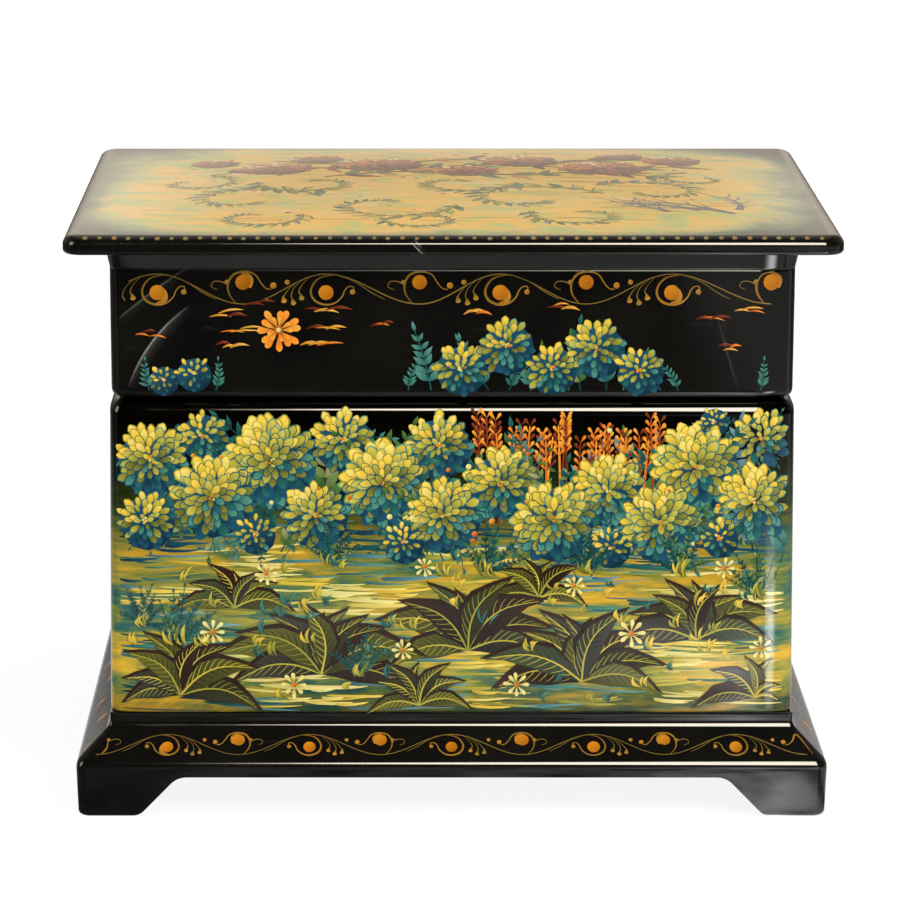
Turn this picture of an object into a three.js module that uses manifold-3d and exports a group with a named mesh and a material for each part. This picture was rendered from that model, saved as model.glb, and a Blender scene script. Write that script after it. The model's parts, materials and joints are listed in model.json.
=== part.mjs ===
// A lacquered papier-mâché box with a hinged lid, on a moulded plinth with bracket feet.
// Millimetres, +Z up. The feet stand on z = 0, the width runs along X and the front faces -Y.

import * as THREE from "three";
import { mergeVertices } from "three/addons/utils/BufferGeometryUtils.js";
import Module from "manifold-3d";

const wasm = await Module();
wasm.setup();

// Lid plate: a slightly crowned board with a bullnose edge.
const plateWidth = 140;
const plateDepth = 105;
const plateEdge = 3.5;
const plateLowerRound = 1.5;
const plateUpperRound = 1.7;
const plateCrown = 1.4;
const plateCorner = 3.5;

// Lid walls: a tube under the plate, with a shallow cove where it meets the plate.
const plateOverhang = 7.65;
const lidWallHeight = 27.6;
const lidRimRound = 1.2;
const coveHeight = 4.1;
const coveReach = 0.7;

// Body walls: a tube that leans out slightly towards its foot.
const bodyHeight = 58.9;
const bodyStandOut = 0.3;
const bodyLean = 0.65;
const bodyWall = 4.4;
const bodyRimRound = 1.8;
const bodyFootRound = 0.5;
const wallCorner = 2.4;
const innerCorner = 1.2;

// Inside: a floor board, and a sleeve whose lip stands up into the lid.
const floorThickness = 3.4;
const sleeveThickness = 1.3;
const lipRise = 3;
const lipRound = 0.4;

// Plinth: four mitred mouldings with a bracket foot at each end.
const plinthHeight = 18.4;
const plinthReach = 5.9;
const shoulderHeight = 10.4;
const shoulderRound = 2.4;
const neckHeight = 16;
const neckInset = 0.15;
const neckRound = 2.2;
const footWidth = 11.3;
const footTaper = 0.3;
const footRound = 1.1;
const archHeight = 7.7;
const archRun = 7.4;
const archRound = 1.6;
const ledgeReach = 3.6;
const ledgeThickness = 3.8;
const plinthCorner = 1.8;

// Hinges: two brass butts whose leaves stand in kerfs in the back walls.
const openAngle = 100;
const grooveSlack = 1;
const hingeInset = 1.5;
const hingeEndDistance = 24.35;
const hingeLength = 18;
const knuckleCount = 5;
const knuckleRadius = 1.3;
const leafHeight = 7.6;
const leafThickness = 0.6;
const pinRadius = 0.6;
const pinHeadRadius = 1;
const pinHeadHeight = 0.4;

// Nails: two through each leaf, driven in from the back.
const nailRadius = 0.4;
const nailHeadRadius = 0.95;
const nailHeadHeight = 0.45;
const nailTip = 0.6;
const nailCover = 1;
const nailEndDistance = 3.6;
const nailFootDistance = 2.9;

// Clearances.
const jointGap = 0.4;
const seatGap = 0.2;
const mitreGap = 0.1;
const lipClearance = 0.3;
const runningGap = 0.2;
const kerfGap = 0.15;
const pinGap = 0.08;
const nailGap = 0.1;
const cutOverrun = 1;

// Facets on the round stretches.
const cornerSteps = 5;
const edgeSteps = 5;
const coveSteps = 4;
const mouldingSteps = 6;
const knuckleFacets = 24;
const nailFacets = 12;
const crownRingShares = [1, 0.86, 0.7, 0.52, 0.34, 0.16];
const nailDomeShares = [0.95, 0.8, 0.45];
const nailDomeHeightShares = [0.3, 0.68, 0.94];

const finishes = {
  lacquer: { color: 0x0e0d0b, roughness: 0.12, metalness: 0 },
  redLacquer: { color: 0x8f1d12, roughness: 0.18, metalness: 0 },
  brass: { color: 0xb48a3e, roughness: 0.3, metalness: 1 },
};

// Heights, from the feet up.
const bodyTop = plinthHeight + bodyHeight;
const lidBottom = bodyTop + jointGap;
const hingeHeight = bodyTop + jointGap / 2;
const plateBottom = lidBottom + lidWallHeight;
const plateEdgeTop = plateBottom + plateEdge;

// Half sizes in plan, from the plate down.
const plateHalf = { x: plateWidth / 2, y: plateDepth / 2 };
const lidHalf = grown(plateHalf, -plateOverhang);
const bodyTopHalf = grown(lidHalf, bodyStandOut);
const bodyFootHalf = grown(bodyTopHalf, bodyLean);
const cavityHalf = grown(bodyTopHalf, -bodyWall);
const sleeveHalf = grown(cavityHalf, -seatGap);
const lidCavityHalf = grown(sleeveHalf, lipClearance);
const plinthHalf = grown(bodyFootHalf, plinthReach);
const hingeBack = lidHalf.y - hingeInset;

const up = new THREE.Vector3(0, 0, 1);

function grown(half, amount) {
  return { x: half.x + amount, y: half.y + amount };
}

// A rounded rectangle, anticlockwise as seen from above.
function roundedRing(half, radius) {
  const corners = [
    [1, 1],
    [-1, 1],
    [-1, -1],
    [1, -1],
  ];
  const ring = [];
  corners.forEach(([sideX, sideY], quarter) => {
    for (let step = 0; step <= cornerSteps; step += 1) {
      const angle = (Math.PI / 2) * (quarter + step / cornerSteps);
      const x = sideX * (half.x - radius) + radius * Math.cos(angle);
      const y = sideY * (half.y - radius) + radius * Math.sin(angle);
      ring.push([x, y]);
    }
  });
  return ring;
}

// A closed skin over rings of equal count, given from the bottom up.
function loft(rings) {
  const count = rings[0].length;
  const positions = rings.flat(2);
  const indices = [];
  for (let level = 0; level + 1 < rings.length; level += 1) {
    for (let step = 0; step < count; step += 1) {
      const a = level * count + step;
      const b = level * count + ((step + 1) % count);
      indices.push(a, b, b + count, a, b + count, a + count);
    }
  }
  [rings[0], rings[rings.length - 1]].forEach((ring, end) => {
    const centre = positions.length / 3;
    for (const axis of [0, 1, 2]) {
      positions.push(ring.reduce((sum, point) => sum + point[axis], 0) / count);
    }
    const first = end * (rings.length - 1) * count;
    for (let step = 0; step < count; step += 1) {
      const a = first + step;
      const b = first + ((step + 1) % count);
      indices.push(...(end ? [centre, a, b] : [centre, b, a]));
    }
  });
  const geometry = new THREE.BufferGeometry();
  geometry.setAttribute("position", new THREE.Float32BufferAttribute(positions, 3));
  geometry.setIndex(indices);
  return geometry;
}

// Rings at the heights and insets of a list of levels, from one outline.
function ringsAt(levels, halfAt, radius) {
  return levels.map(({ z, inset }) => {
    const ring = roundedRing(grown(halfAt(z), -inset), radius - inset);
    return ring.map(([x, y]) => [x, y, z]);
  });
}

// The levels of a quarter round between a flat end and an upright wall.
function roundLevels(z, radius, direction) {
  const levels = [];
  for (let step = 0; step <= edgeSteps; step += 1) {
    const angle = (Math.PI / 2) * (step / edgeSteps);
    const rise = radius * (1 - Math.cos(angle));
    levels.push({ z: z + direction * rise, inset: radius * (1 - Math.sin(angle)) });
  }
  return direction > 0 ? levels : levels.reverse();
}

function uprightPrism(half, radius, low, high) {
  return loft(ringsAt([{ z: low, inset: 0 }, { z: high, inset: 0 }], () => half, radius));
}

// An outline with each corner [x, y, radius] rounded off by an arc.
function roundedOutline(corners) {
  const points = [];
  corners.forEach(([x, y, radius], index) => {
    const corner = new THREE.Vector2(x, y);
    if (!radius) {
      points.push(corner);
      return;
    }
    const before = corners[(index + corners.length - 1) % corners.length];
    const after = corners[(index + 1) % corners.length];
    const toBefore = new THREE.Vector2(before[0], before[1]).sub(corner).normalize();
    const toAfter = new THREE.Vector2(after[0], after[1]).sub(corner).normalize();
    const halfAngle = Math.acos(toBefore.dot(toAfter)) / 2;
    const bisector = toBefore.clone().add(toAfter).normalize();
    const centre = corner.clone().addScaledVector(bisector, radius / Math.sin(halfAngle));
    const start = corner.clone().addScaledVector(toBefore, radius / Math.tan(halfAngle)).sub(centre);
    const turn = (Math.PI - 2 * halfAngle) * Math.sign(toAfter.cross(toBefore));
    for (let step = 0; step <= mouldingSteps; step += 1) {
      const spoke = start.clone().rotateAround(new THREE.Vector2(), (turn * step) / mouldingSteps);
      points.push(spoke.add(centre));
    }
  });
  return points;
}

// A prism of an outline drawn across `across` and `rise`, centred along their normal.
function prism(outline, across, rise, length) {
  const shape = new THREE.Shape(outline);
  const geometry = new THREE.ExtrudeGeometry(shape, { depth: length, bevelEnabled: false });
  const along = new THREE.Vector3().crossVectors(across, rise);
  geometry.translate(0, 0, -length / 2);
  geometry.applyMatrix4(new THREE.Matrix4().makeBasis(across, rise, along));
  return geometry;
}

function box(low, high) {
  const size = new THREE.Vector3().subVectors(high, low);
  const geometry = new THREE.BoxGeometry(size.x, size.y, size.z);
  const centre = new THREE.Vector3().addVectors(low, high).multiplyScalar(1 / 2);
  return geometry.translate(centre.x, centre.y, centre.z);
}

function rodAlongX(radius, from, to, y, z) {
  const geometry = new THREE.CylinderGeometry(radius, radius, to - from, knuckleFacets);
  return geometry.rotateZ(Math.PI / 2).translate((from + to) / 2, y, z);
}

function rodAlongY(radius, from, to, x, z) {
  const geometry = new THREE.CylinderGeometry(radius, radius, to - from, nailFacets);
  return geometry.translate(x, (from + to) / 2, z);
}

function solid(geometry) {
  const bare = geometry.clone();
  bare.deleteAttribute("normal");
  bare.deleteAttribute("uv");
  const merged = mergeVertices(bare);
  const mesh = new wasm.Mesh({
    numProp: 3,
    vertProperties: new Float32Array(merged.attributes.position.array),
    triVerts: new Uint32Array(merged.index.array),
  });
  return new wasm.Manifold(mesh);
}

function cut(body, ...tools) {
  return tools.reduce((rest, tool) => rest.subtract(solid(tool)), body);
}

function piece(name, shape, finish) {
  let geometry = shape;
  if (!shape.isBufferGeometry) {
    const mesh = shape.getMesh();
    geometry = new THREE.BufferGeometry();
    geometry.setAttribute("position", new THREE.Float32BufferAttribute(mesh.vertProperties, 3));
    geometry.setIndex(Array.from(mesh.triVerts));
  }
  geometry.computeVertexNormals();
  const node = new THREE.Mesh(geometry, new THREE.MeshStandardMaterial(finish));
  node.name = name;
  return node;
}

// Hinges

const hinges = [
  { name: "hinge_left", x: hingeEndDistance - lidHalf.x },
  { name: "hinge_right", x: lidHalf.x - hingeEndDistance },
];
const sides = [
  { name: "body", direction: -1, firstKnuckle: 0 },
  { name: "lid", direction: 1, firstKnuckle: 1 },
];

// The outer face of the back wall at a height on the body or the lid.
function backFace(direction, z) {
  return direction > 0 ? lidHalf.y : bodyHalfAt(z).y;
}

function nailPlaces(hinge, direction) {
  const z = hingeHeight + direction * (leafHeight - nailFootDistance);
  const reach = hingeLength / 2 - nailEndDistance;
  const wall = direction > 0 ? lidHalf.y - lidCavityHalf.y : bodyWall;
  const face = backFace(direction, z);
  const tip = (direction > 0 ? lidHalf.y : bodyTopHalf.y) - wall + nailCover;
  return [-reach, reach].map((offset) => ({ x: hinge.x + offset, z, face, tip }));
}

function hingeLeaf(hinge, { direction, firstKnuckle }) {
  const start = hinge.x - hingeLength / 2;
  const end = hinge.x + hingeLength / 2;
  const pitch = hingeLength / knuckleCount;
  const heights = [hingeHeight, hingeHeight + direction * leafHeight];
  const low = new THREE.Vector3(start, hingeBack - leafThickness / 2, Math.min(...heights));
  const high = new THREE.Vector3(end, hingeBack + leafThickness / 2, Math.max(...heights));
  let leaf = solid(box(low, high));
  for (let index = 0; index < knuckleCount; index += 1) {
    const from = start + index * pitch;
    const own = (index - firstKnuckle) % 2 === 0;
    if (!own) {
      const room = rodAlongX(
        knuckleRadius + runningGap,
        from - runningGap / 2 - (index === 0 ? cutOverrun : 0),
        from + pitch + runningGap / 2 + (index === knuckleCount - 1 ? cutOverrun : 0),
        hingeBack,
        hingeHeight,
      );
      leaf = cut(leaf, room);
    }
  }
  for (let index = firstKnuckle; index < knuckleCount; index += 2) {
    const from = start + index * pitch + runningGap / 2;
    const to = from + pitch - runningGap;
    leaf = leaf.add(solid(rodAlongX(knuckleRadius, from, to, hingeBack, hingeHeight)));
  }
  const bore = rodAlongX(
    pinRadius + pinGap,
    start - cutOverrun,
    end + cutOverrun,
    hingeBack,
    hingeHeight,
  );
  const holes = nailPlaces(hinge, direction).map(({ x, z }) =>
    rodAlongY(nailRadius + nailGap, hingeBack - cutOverrun, hingeBack + cutOverrun, x, z),
  );
  return cut(leaf, bore, ...holes);
}

function hingePin(hinge) {
  const neck = hingeLength / 2 + runningGap;
  const end = neck + pinHeadHeight;
  const profile = [
    new THREE.Vector2(0, -end),
    new THREE.Vector2(pinRadius, -end),
    new THREE.Vector2(pinHeadRadius, -neck - pinHeadHeight / 2),
    new THREE.Vector2(pinHeadRadius, -neck),
    new THREE.Vector2(pinRadius, -neck),
    new THREE.Vector2(pinRadius, neck),
    new THREE.Vector2(pinHeadRadius, neck),
    new THREE.Vector2(pinHeadRadius, neck + pinHeadHeight / 2),
    new THREE.Vector2(pinRadius, end),
    new THREE.Vector2(0, end),
  ];
  const geometry = new THREE.LatheGeometry(profile, knuckleFacets);
  return geometry.rotateZ(-Math.PI / 2).translate(hinge.x, hingeBack, hingeHeight);
}

function nail({ x, z, face, tip }) {
  const length = face + nailGap - tip;
  const dome = nailDomeShares.map((share, index) => {
    return new THREE.Vector2(nailHeadRadius * share, nailHeadHeight * nailDomeHeightShares[index]);
  });
  const profile = [
    new THREE.Vector2(0, -length),
    new THREE.Vector2(nailRadius, nailTip - length),
    new THREE.Vector2(nailRadius, 0),
    new THREE.Vector2(nailHeadRadius, 0),
    ...dome,
    new THREE.Vector2(0, nailHeadHeight),
  ];
  return new THREE.LatheGeometry(profile, nailFacets).translate(x, face + nailGap, z);
}

// The kerfs, knuckle hollows and nail holes of both hinges, in the body or in the lid.
function hingeRooms({ direction }) {
  const rooms = [];
  for (const hinge of hinges) {
    const reach = hingeLength / 2 + kerfGap;
    const across = leafThickness / 2 + kerfGap;
    const heights = [hingeHeight, hingeHeight + direction * (leafHeight + kerfGap)];
    const low = new THREE.Vector3(hinge.x - reach, hingeBack - across, Math.min(...heights));
    const high = new THREE.Vector3(hinge.x + reach, hingeBack + across, Math.max(...heights));
    const headReach = hingeLength / 2 + 2 * runningGap + pinHeadHeight;
    const hollowRadius = knuckleRadius + runningGap;
    rooms.push(box(low, high));
    rooms.push(
      rodAlongX(hollowRadius, hinge.x - headReach, hinge.x + headReach, hingeBack, hingeHeight),
    );
    for (const { x, z, face, tip } of nailPlaces(hinge, direction)) {
      rooms.push(rodAlongY(nailRadius + nailGap, tip - nailGap, face + cutOverrun, x, z));
    }
  }
  return rooms;
}

// The V groove along the back joint, whose two sides meet when the lid is fully open.
function backGroove() {
  const reach = hingeInset + bodyStandOut + bodyLean + cutOverrun;
  const rise = reach * Math.tan(THREE.MathUtils.degToRad((openAngle + grooveSlack) / 2));
  const outline = [
    new THREE.Vector2(hingeBack, hingeHeight),
    new THREE.Vector2(hingeBack + reach, hingeHeight - rise),
    new THREE.Vector2(hingeBack + reach, hingeHeight + rise),
  ];
  const across = new THREE.Vector3(0, 1, 0);
  return prism(outline, across, up, 2 * (bodyFootHalf.x + cutOverrun));
}

// Body

function bodyHalfAt(z) {
  return grown(bodyTopHalf, (bodyLean * (bodyTop - z)) / bodyHeight);
}

function bodyWalls() {
  const levels = [
    ...roundLevels(plinthHeight, bodyFootRound, 1),
    ...roundLevels(bodyTop, bodyRimRound, -1),
  ];
  const outer = solid(loft(ringsAt(levels, bodyHalfAt, wallCorner)));
  const cavity = uprightPrism(cavityHalf, innerCorner, plinthHeight - cutOverrun, bodyTop + cutOverrun);
  return cut(outer, cavity, backGroove(), ...hingeRooms(sides[0]));
}

// The floor board lies on the plinth's ledges, inside the sleeve.
function bodyFloor() {
  const half = grown(sleeveHalf, -sleeveThickness - seatGap);
  return uprightPrism(half, innerCorner - 2 * seatGap, plinthHeight, plinthHeight + floorThickness);
}

function innerSleeve() {
  const top = bodyTop + lipRise;
  const levels = [{ z: plinthHeight, inset: 0 }, ...roundLevels(top, lipRound, -1)];
  const outer = solid(loft(ringsAt(levels, () => sleeveHalf, innerCorner - seatGap)));
  const hollow = uprightPrism(
    grown(sleeveHalf, -sleeveThickness),
    innerCorner - seatGap,
    plinthHeight - cutOverrun,
    top + cutOverrun,
  );
  return cut(outer, hollow);
}

// Lid

function lidWalls() {
  const coveFoot = plateBottom - coveHeight;
  const levels = roundLevels(lidBottom, lidRimRound, 1);
  for (let step = 0; step <= coveSteps; step += 1) {
    const share = step / coveSteps;
    levels.push({ z: coveFoot + coveHeight * share, inset: -coveReach * share * share });
  }
  const outer = solid(loft(ringsAt(levels, () => lidHalf, wallCorner)));
  const low = lidBottom - cutOverrun;
  const high = plateBottom + cutOverrun;
  const cavity = uprightPrism(lidCavityHalf, innerCorner, low, high);
  return cut(outer, cavity, backGroove(), ...hingeRooms(sides[1]));
}

function lidPlate() {
  const levels = [
    ...roundLevels(plateBottom, plateLowerRound, 1),
    ...roundLevels(plateEdgeTop, plateUpperRound, -1),
  ];
  const rings = ringsAt(levels, () => plateHalf, plateCorner);
  const flat = grown(plateHalf, -plateUpperRound);
  const rim = rings.pop();
  for (const share of crownRingShares) {
    const ring = rim.map(([rimX, rimY]) => {
      const x = rimX * share;
      const y = rimY * share;
      const height = plateCrown * (1 - (x / flat.x) ** 2) * (1 - (y / flat.y) ** 2);
      return [x, y, plateEdgeTop + height];
    });
    rings.push(ring);
  }
  return loft(rings);
}

// Plinth

// The moulding's section: how far out from the body's foot, and how high.
function mouldingSection() {
  const footInner = plinthReach - footWidth;
  const ledgeInner = footInner - ledgeReach;
  return roundedOutline([
    [footInner, 0, 0],
    [plinthReach - footTaper, 0, footRound],
    [plinthReach, shoulderHeight, shoulderRound],
    [-neckInset, neckHeight, neckRound],
    [-neckInset, plinthHeight, 0],
    [ledgeInner, plinthHeight, 0],
    [ledgeInner, plinthHeight - ledgeThickness, 0],
    [footInner, plinthHeight - ledgeThickness, 0],
  ]);
}

// The moulding's elevation, with a low arch between the two feet.
function mouldingElevation(halfLength) {
  const footEnd = halfLength - footWidth;
  const archEnd = footEnd - archRun;
  const top = plinthHeight + cutOverrun;
  return roundedOutline([
    [-halfLength, 0, 0],
    [-footEnd, 0, archRound],
    [-archEnd, archHeight, archRound],
    [archEnd, archHeight, archRound],
    [footEnd, 0, archRound],
    [halfLength, 0, 0],
    [halfLength, top, 0],
    [-halfLength, top, 0],
  ]);
}

function moulding(outward, bodyReach, sideReach) {
  const halfLength = sideReach + plinthReach;
  const along = new THREE.Vector3().crossVectors(outward, up);
  const bar = prism(mouldingSection(), outward, up, 2 * halfLength);
  bar.translate(outward.x * bodyReach, outward.y * bodyReach, 0);
  const depth = 2 * (bodyReach + plinthReach + cutOverrun);
  const elevation = prism(mouldingElevation(halfLength), along, up, depth);
  const inside = plinthReach - footWidth - ledgeReach - cutOverrun;
  const outside = plinthReach + cutOverrun;
  const mitre = [
    [sideReach + inside - mitreGap, bodyReach + inside],
    [sideReach + outside - mitreGap, bodyReach + outside],
    [mitreGap - sideReach - outside, bodyReach + outside],
    [mitreGap - sideReach - inside, bodyReach + inside],
  ].map(([side, out]) => new THREE.Vector2(out, side));
  const mitres = prism(mitre, outward, along, 2 * (plinthHeight + cutOverrun));
  const rounded = uprightPrism(plinthHalf, plinthCorner, -cutOverrun, plinthHeight + cutOverrun);
  return [elevation, mitres, rounded].reduce((rest, tool) => rest.intersect(solid(tool)), solid(bar));
}

const plinthSides = [
  { name: "plinth_front", outward: [0, -1, 0], body: bodyFootHalf.y, side: bodyFootHalf.x },
  { name: "plinth_back", outward: [0, 1, 0], body: bodyFootHalf.y, side: bodyFootHalf.x },
  { name: "plinth_left", outward: [-1, 0, 0], body: bodyFootHalf.x, side: bodyFootHalf.y },
  { name: "plinth_right", outward: [1, 0, 0], body: bodyFootHalf.x, side: bodyFootHalf.y },
];

// Assembly

const base = new THREE.Group();
const lid = new THREE.Group();
base.add(piece("body_walls", bodyWalls(), finishes.lacquer));
base.add(piece("body_floor", bodyFloor(), finishes.redLacquer));
base.add(piece("inner_sleeve", innerSleeve(), finishes.redLacquer));
for (const { name, outward, body, side } of plinthSides) {
  const bar = moulding(new THREE.Vector3(...outward), body, side);
  base.add(piece(name, bar, finishes.lacquer));
}
lid.add(piece("lid_walls", lidWalls(), finishes.lacquer));
lid.add(piece("lid_plate", lidPlate(), finishes.lacquer));
for (const hinge of hinges) {
  base.add(piece(`${hinge.name}_pin`, hingePin(hinge), finishes.brass));
  for (const side of sides) {
    const carrier = side.direction > 0 ? lid : base;
    carrier.add(piece(`${hinge.name}_${side.name}_leaf`, hingeLeaf(hinge, side), finishes.brass));
    nailPlaces(hinge, side.direction).forEach((place, index) => {
      carrier.add(piece(`${hinge.name}_${side.name}_nail_${index + 1}`, nail(place), finishes.brass));
    });
  }
}

const lacquerBox = new THREE.Group();
lacquerBox.add(base, lid);
export default lacquerBox;
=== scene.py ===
import json
import math
import random
from functools import partial

import bmesh
import bpy
from mathutils import Matrix, Vector, noise

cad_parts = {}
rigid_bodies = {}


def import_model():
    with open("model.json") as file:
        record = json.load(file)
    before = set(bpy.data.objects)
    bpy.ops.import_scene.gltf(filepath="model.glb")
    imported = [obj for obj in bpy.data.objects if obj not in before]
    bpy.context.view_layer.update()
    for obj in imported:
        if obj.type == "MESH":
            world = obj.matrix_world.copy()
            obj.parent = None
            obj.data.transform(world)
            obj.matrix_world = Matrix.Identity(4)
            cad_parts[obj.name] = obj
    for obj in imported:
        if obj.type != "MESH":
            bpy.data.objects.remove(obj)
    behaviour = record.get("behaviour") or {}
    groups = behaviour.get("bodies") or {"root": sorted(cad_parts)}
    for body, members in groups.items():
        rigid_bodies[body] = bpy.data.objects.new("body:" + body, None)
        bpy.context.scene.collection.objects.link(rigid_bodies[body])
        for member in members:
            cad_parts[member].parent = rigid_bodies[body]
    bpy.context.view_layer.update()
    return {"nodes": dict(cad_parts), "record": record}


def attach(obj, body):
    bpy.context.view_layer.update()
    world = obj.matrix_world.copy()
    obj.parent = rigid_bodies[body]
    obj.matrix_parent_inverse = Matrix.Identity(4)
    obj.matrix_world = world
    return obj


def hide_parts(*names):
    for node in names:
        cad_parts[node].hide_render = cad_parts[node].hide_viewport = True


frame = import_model()
mm = 0.001


def linearColour(hexCode):
    channels = [int(hexCode[start:start + 2], 16) / 255 for start in (1, 3, 5)]
    return [c / 12.92 if c <= 0.04045 else ((c + 0.055) / 1.055) ** 2.4 for c in channels] + [1.0]


def inMetres(values):  # the first two are places in mm, and what follows them has no unit
    return [value * mm for value in values[:2]] + list(values[2:])


def addNode(tree, kind, inputs=(), stops=(), **settings):
    # inputs are a dictionary by socket, or a list in the node's own order; where one is a node,
    # its first output in use is linked
    node = tree.nodes.new(kind)
    for name, value in settings.items():
        setattr(node, name, value)
    for socket, value in inputs.items() if isinstance(inputs, dict) else enumerate(inputs):
        if isinstance(value, bpy.types.Node):
            value = next(output for output in value.outputs if output.enabled)
        if isinstance(value, bpy.types.NodeSocket):
            tree.links.new(value, node.inputs[socket])
        else:
            node.inputs[socket].default_value = value
    for index, (position, colour) in enumerate(stops):
        elements = node.color_ramp.elements
        stop = elements[index] if index < 2 else elements.new(position)
        stop.position = position
        stop.color = linearColour(colour)
    return node


def newMaterial(name):
    material = bpy.data.materials.new(name)
    material.use_nodes = True
    material.node_tree.nodes.clear()
    return material, partial(addNode, material.node_tree)


# Meshes: rings, lofts and prisms, all in millimetres until they become vertices.

# board walls curve in a little at their ends: radius in mm, turn in degrees
bow = {"radius": 30, "turn": 9, "steps": 3, "cornerSteps": 8}


def bowReach(radius):
    turn = math.radians(bow["turn"])
    return (bow["radius"] * (1 + math.sin(turn) - math.cos(turn))
            + radius * (math.cos(turn) - math.sin(turn)))


def ring(half, radius, z, bowed=False, parts=1, ease=0.25):
    broad, steps = bow["radius"] if bowed else radius, bow["cornerSteps"]
    ends = [(broad, bow["turn"] / bow["steps"])] * bow["steps"]
    arcs = ends + [(radius, (90 - 2 * bow["turn"]) / steps)] * steps + ends
    corner, turn = [Vector((0, 0))], 0.0
    for arcRadius, degrees in arcs:
        before, turn = turn, turn + math.radians(degrees)
        corner.append(corner[-1] + arcRadius * Vector((math.cos(turn) - math.cos(before),
                                                       math.sin(turn) - math.sin(before))))
    corner = [point - Vector((0, corner[-1].y)) for point in corner]
    # one more point on each flat wall keeps the wall flat in shading
    corner = [corner[0] - Vector((0, ease))] + corner + [corner[-1] - Vector((ease, 0))]
    points = []
    for quarter, (sideX, sideY) in enumerate(((1, 1), (-1, 1), (-1, -1), (1, -1))):
        spin = Matrix.Rotation(math.pi / 2 * quarter, 2)
        for point in corner:
            x, y = Vector((sideX * half[0], sideY * half[1])) + spin @ point
            points.append(Vector((x, y, z)) * mm)
    if parts > 1:  # each flat side in so many parts
        count = len(corner)
        for after in (4 * count, 3 * count, 2 * count, count):
            start, end = points[after - 1], points[after % len(points)]
            points[after:after] = [start.lerp(end, part / parts) for part in range(1, parts)]
    return points


def roundLevels(z, radius, direction, steps=6, ease=0.25, drop=None):
    drop = radius if drop is None else drop
    levels = [(z, radius + ease)]
    for step in range(steps + 1):
        turn = math.pi / 2 * step / steps
        rise = drop * (1 - math.cos(turn))
        levels.append((z + direction * rise, radius * (1 - math.sin(turn))))
    levels.append((z + direction * (drop + ease), 0))
    return levels if direction > 0 else levels[::-1]


def roundedOutline(corners, steps=8, ease=0.2):
    points = []
    for index, (x, y, radius) in enumerate(corners):
        corner = Vector((x, y))
        if not radius:
            points.append(corner)
            continue
        before = (Vector(corners[index - 1][:2]) - corner).normalized()
        after = (Vector(corners[(index + 1) % len(corners)][:2]) - corner).normalized()
        half = before.angle(after) / 2
        reach = radius / math.tan(half)
        centre = corner + (before + after).normalized() * (radius / math.sin(half))
        turn = (math.pi - 2 * half) * math.copysign(1, after.cross(before))
        points.append(corner + before * (reach + ease))
        for step in range(steps + 1):
            spoke = Matrix.Rotation(turn * step / steps, 2) @ (corner + before * reach - centre)
            points.append(centre + spoke)
        points.append(corner + after * (reach + ease))
    return points


def placeMesh(name, mesh):
    piece = bpy.data.objects.new(name, mesh)
    bpy.context.scene.collection.objects.link(piece)
    return piece


def newPiece(name, points, faces=(), edges=()):
    mesh = bpy.data.meshes.new(name)
    mesh.from_pydata(points, edges, faces)
    return placeMesh(name, mesh)


def loft(name, rings, closed=False):
    count = len(rings[0])
    faces = []
    for level in range(len(rings) if closed else len(rings) - 1):
        low = level * count
        high = (level + 1) % len(rings) * count
        for step in range(count):
            after = (step + 1) % count
            faces.append((low + step, low + after, high + after, high + step))
    if not closed:
        faces.append(tuple(reversed(range(count))))
        faces.append(tuple(range(count * (len(rings) - 1), count * len(rings))))
    return newPiece(name, [point for ringPoints in rings for point in ringPoints], faces)


def prism(outline, length, across, rise, middle=(0, 0, 0)):
    across, rise = Vector(across), Vector(rise)
    along = across.cross(rise)
    points = []
    for end in (-0.5, 0.5):
        for x, y in outline:
            points.append((Vector(middle) + across * x + rise * y + along * (end * length)) * mm)
    count = len(outline)
    faces = [tuple(reversed(range(count))), tuple(range(count, 2 * count))]
    for step in range(count):
        after = (step + 1) % count
        faces.append((step, after, count + after, count + step))
    return newPiece("cutter", points, faces)


def disc(radius, sides=32):
    turns = [2 * math.pi * side / sides for side in range(sides)]
    return [(radius * math.cos(turn), radius * math.sin(turn)) for turn in turns]


def settle(piece):  # modifiers become plain mesh
    bpy.context.view_layer.update()
    graph = bpy.context.evaluated_depsgraph_get()
    mesh = bpy.data.meshes.new_from_object(
        piece.evaluated_get(graph), preserve_all_data_layers=True, depsgraph=graph
    )
    piece.modifiers.clear()
    old, piece.data = piece.data, mesh
    bpy.data.meshes.remove(old)
    mesh.name = piece.name
    return piece


def carve(piece, cutters):
    for cutter in cutters:
        piece.modifiers.new("cut", "BOOLEAN").object = cutter
    settle(piece)
    for cutter in cutters:
        bpy.data.objects.remove(cutter)
    return piece


def soften(piece, width, segments, sharp):
    bevel = piece.modifiers.new("soft edges", "BEVEL")
    bevel.width = width * mm
    bevel.segments = segments
    bevel.angle_limit = math.radians(sharp)
    settle(piece)


def dress(piece, body, materials, nodes=(), sharp=34):
    for material in materials:
        piece.data.materials.append(material)
    piece.data.shade_smooth()
    piece.data.set_sharp_from_angle(angle=math.radians(sharp))
    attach(piece, body)
    if nodes:
        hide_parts(*nodes)


# Lacquer: layers of oil varnish on papier-mâché, rubbed down and polished. One glossy skin of
# refractive index 1.5 whose reflections waver, because the board under it is never quite flat.

varnish = {
    "ior": 1.5,
    "smoothest": 0.035,
    "dullest": 0.085,
    "waveSize": 11,  # mm
    "waveHeight": 0.007,  # mm
    "peelSize": 0.9,  # mm
    "peelHeight": 0.0003,  # mm
    "hairlineSpacing": 1.4,  # mm, coarser than real polishing marks so that they show
    "hairlineStretch": (1, 14, 9),  # how much finer they are across than along
    "hairlineRough": 0.07,
    "hairlineGlow": 0.012,
    "hairlineColour": "#c9c4b4",
}


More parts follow.
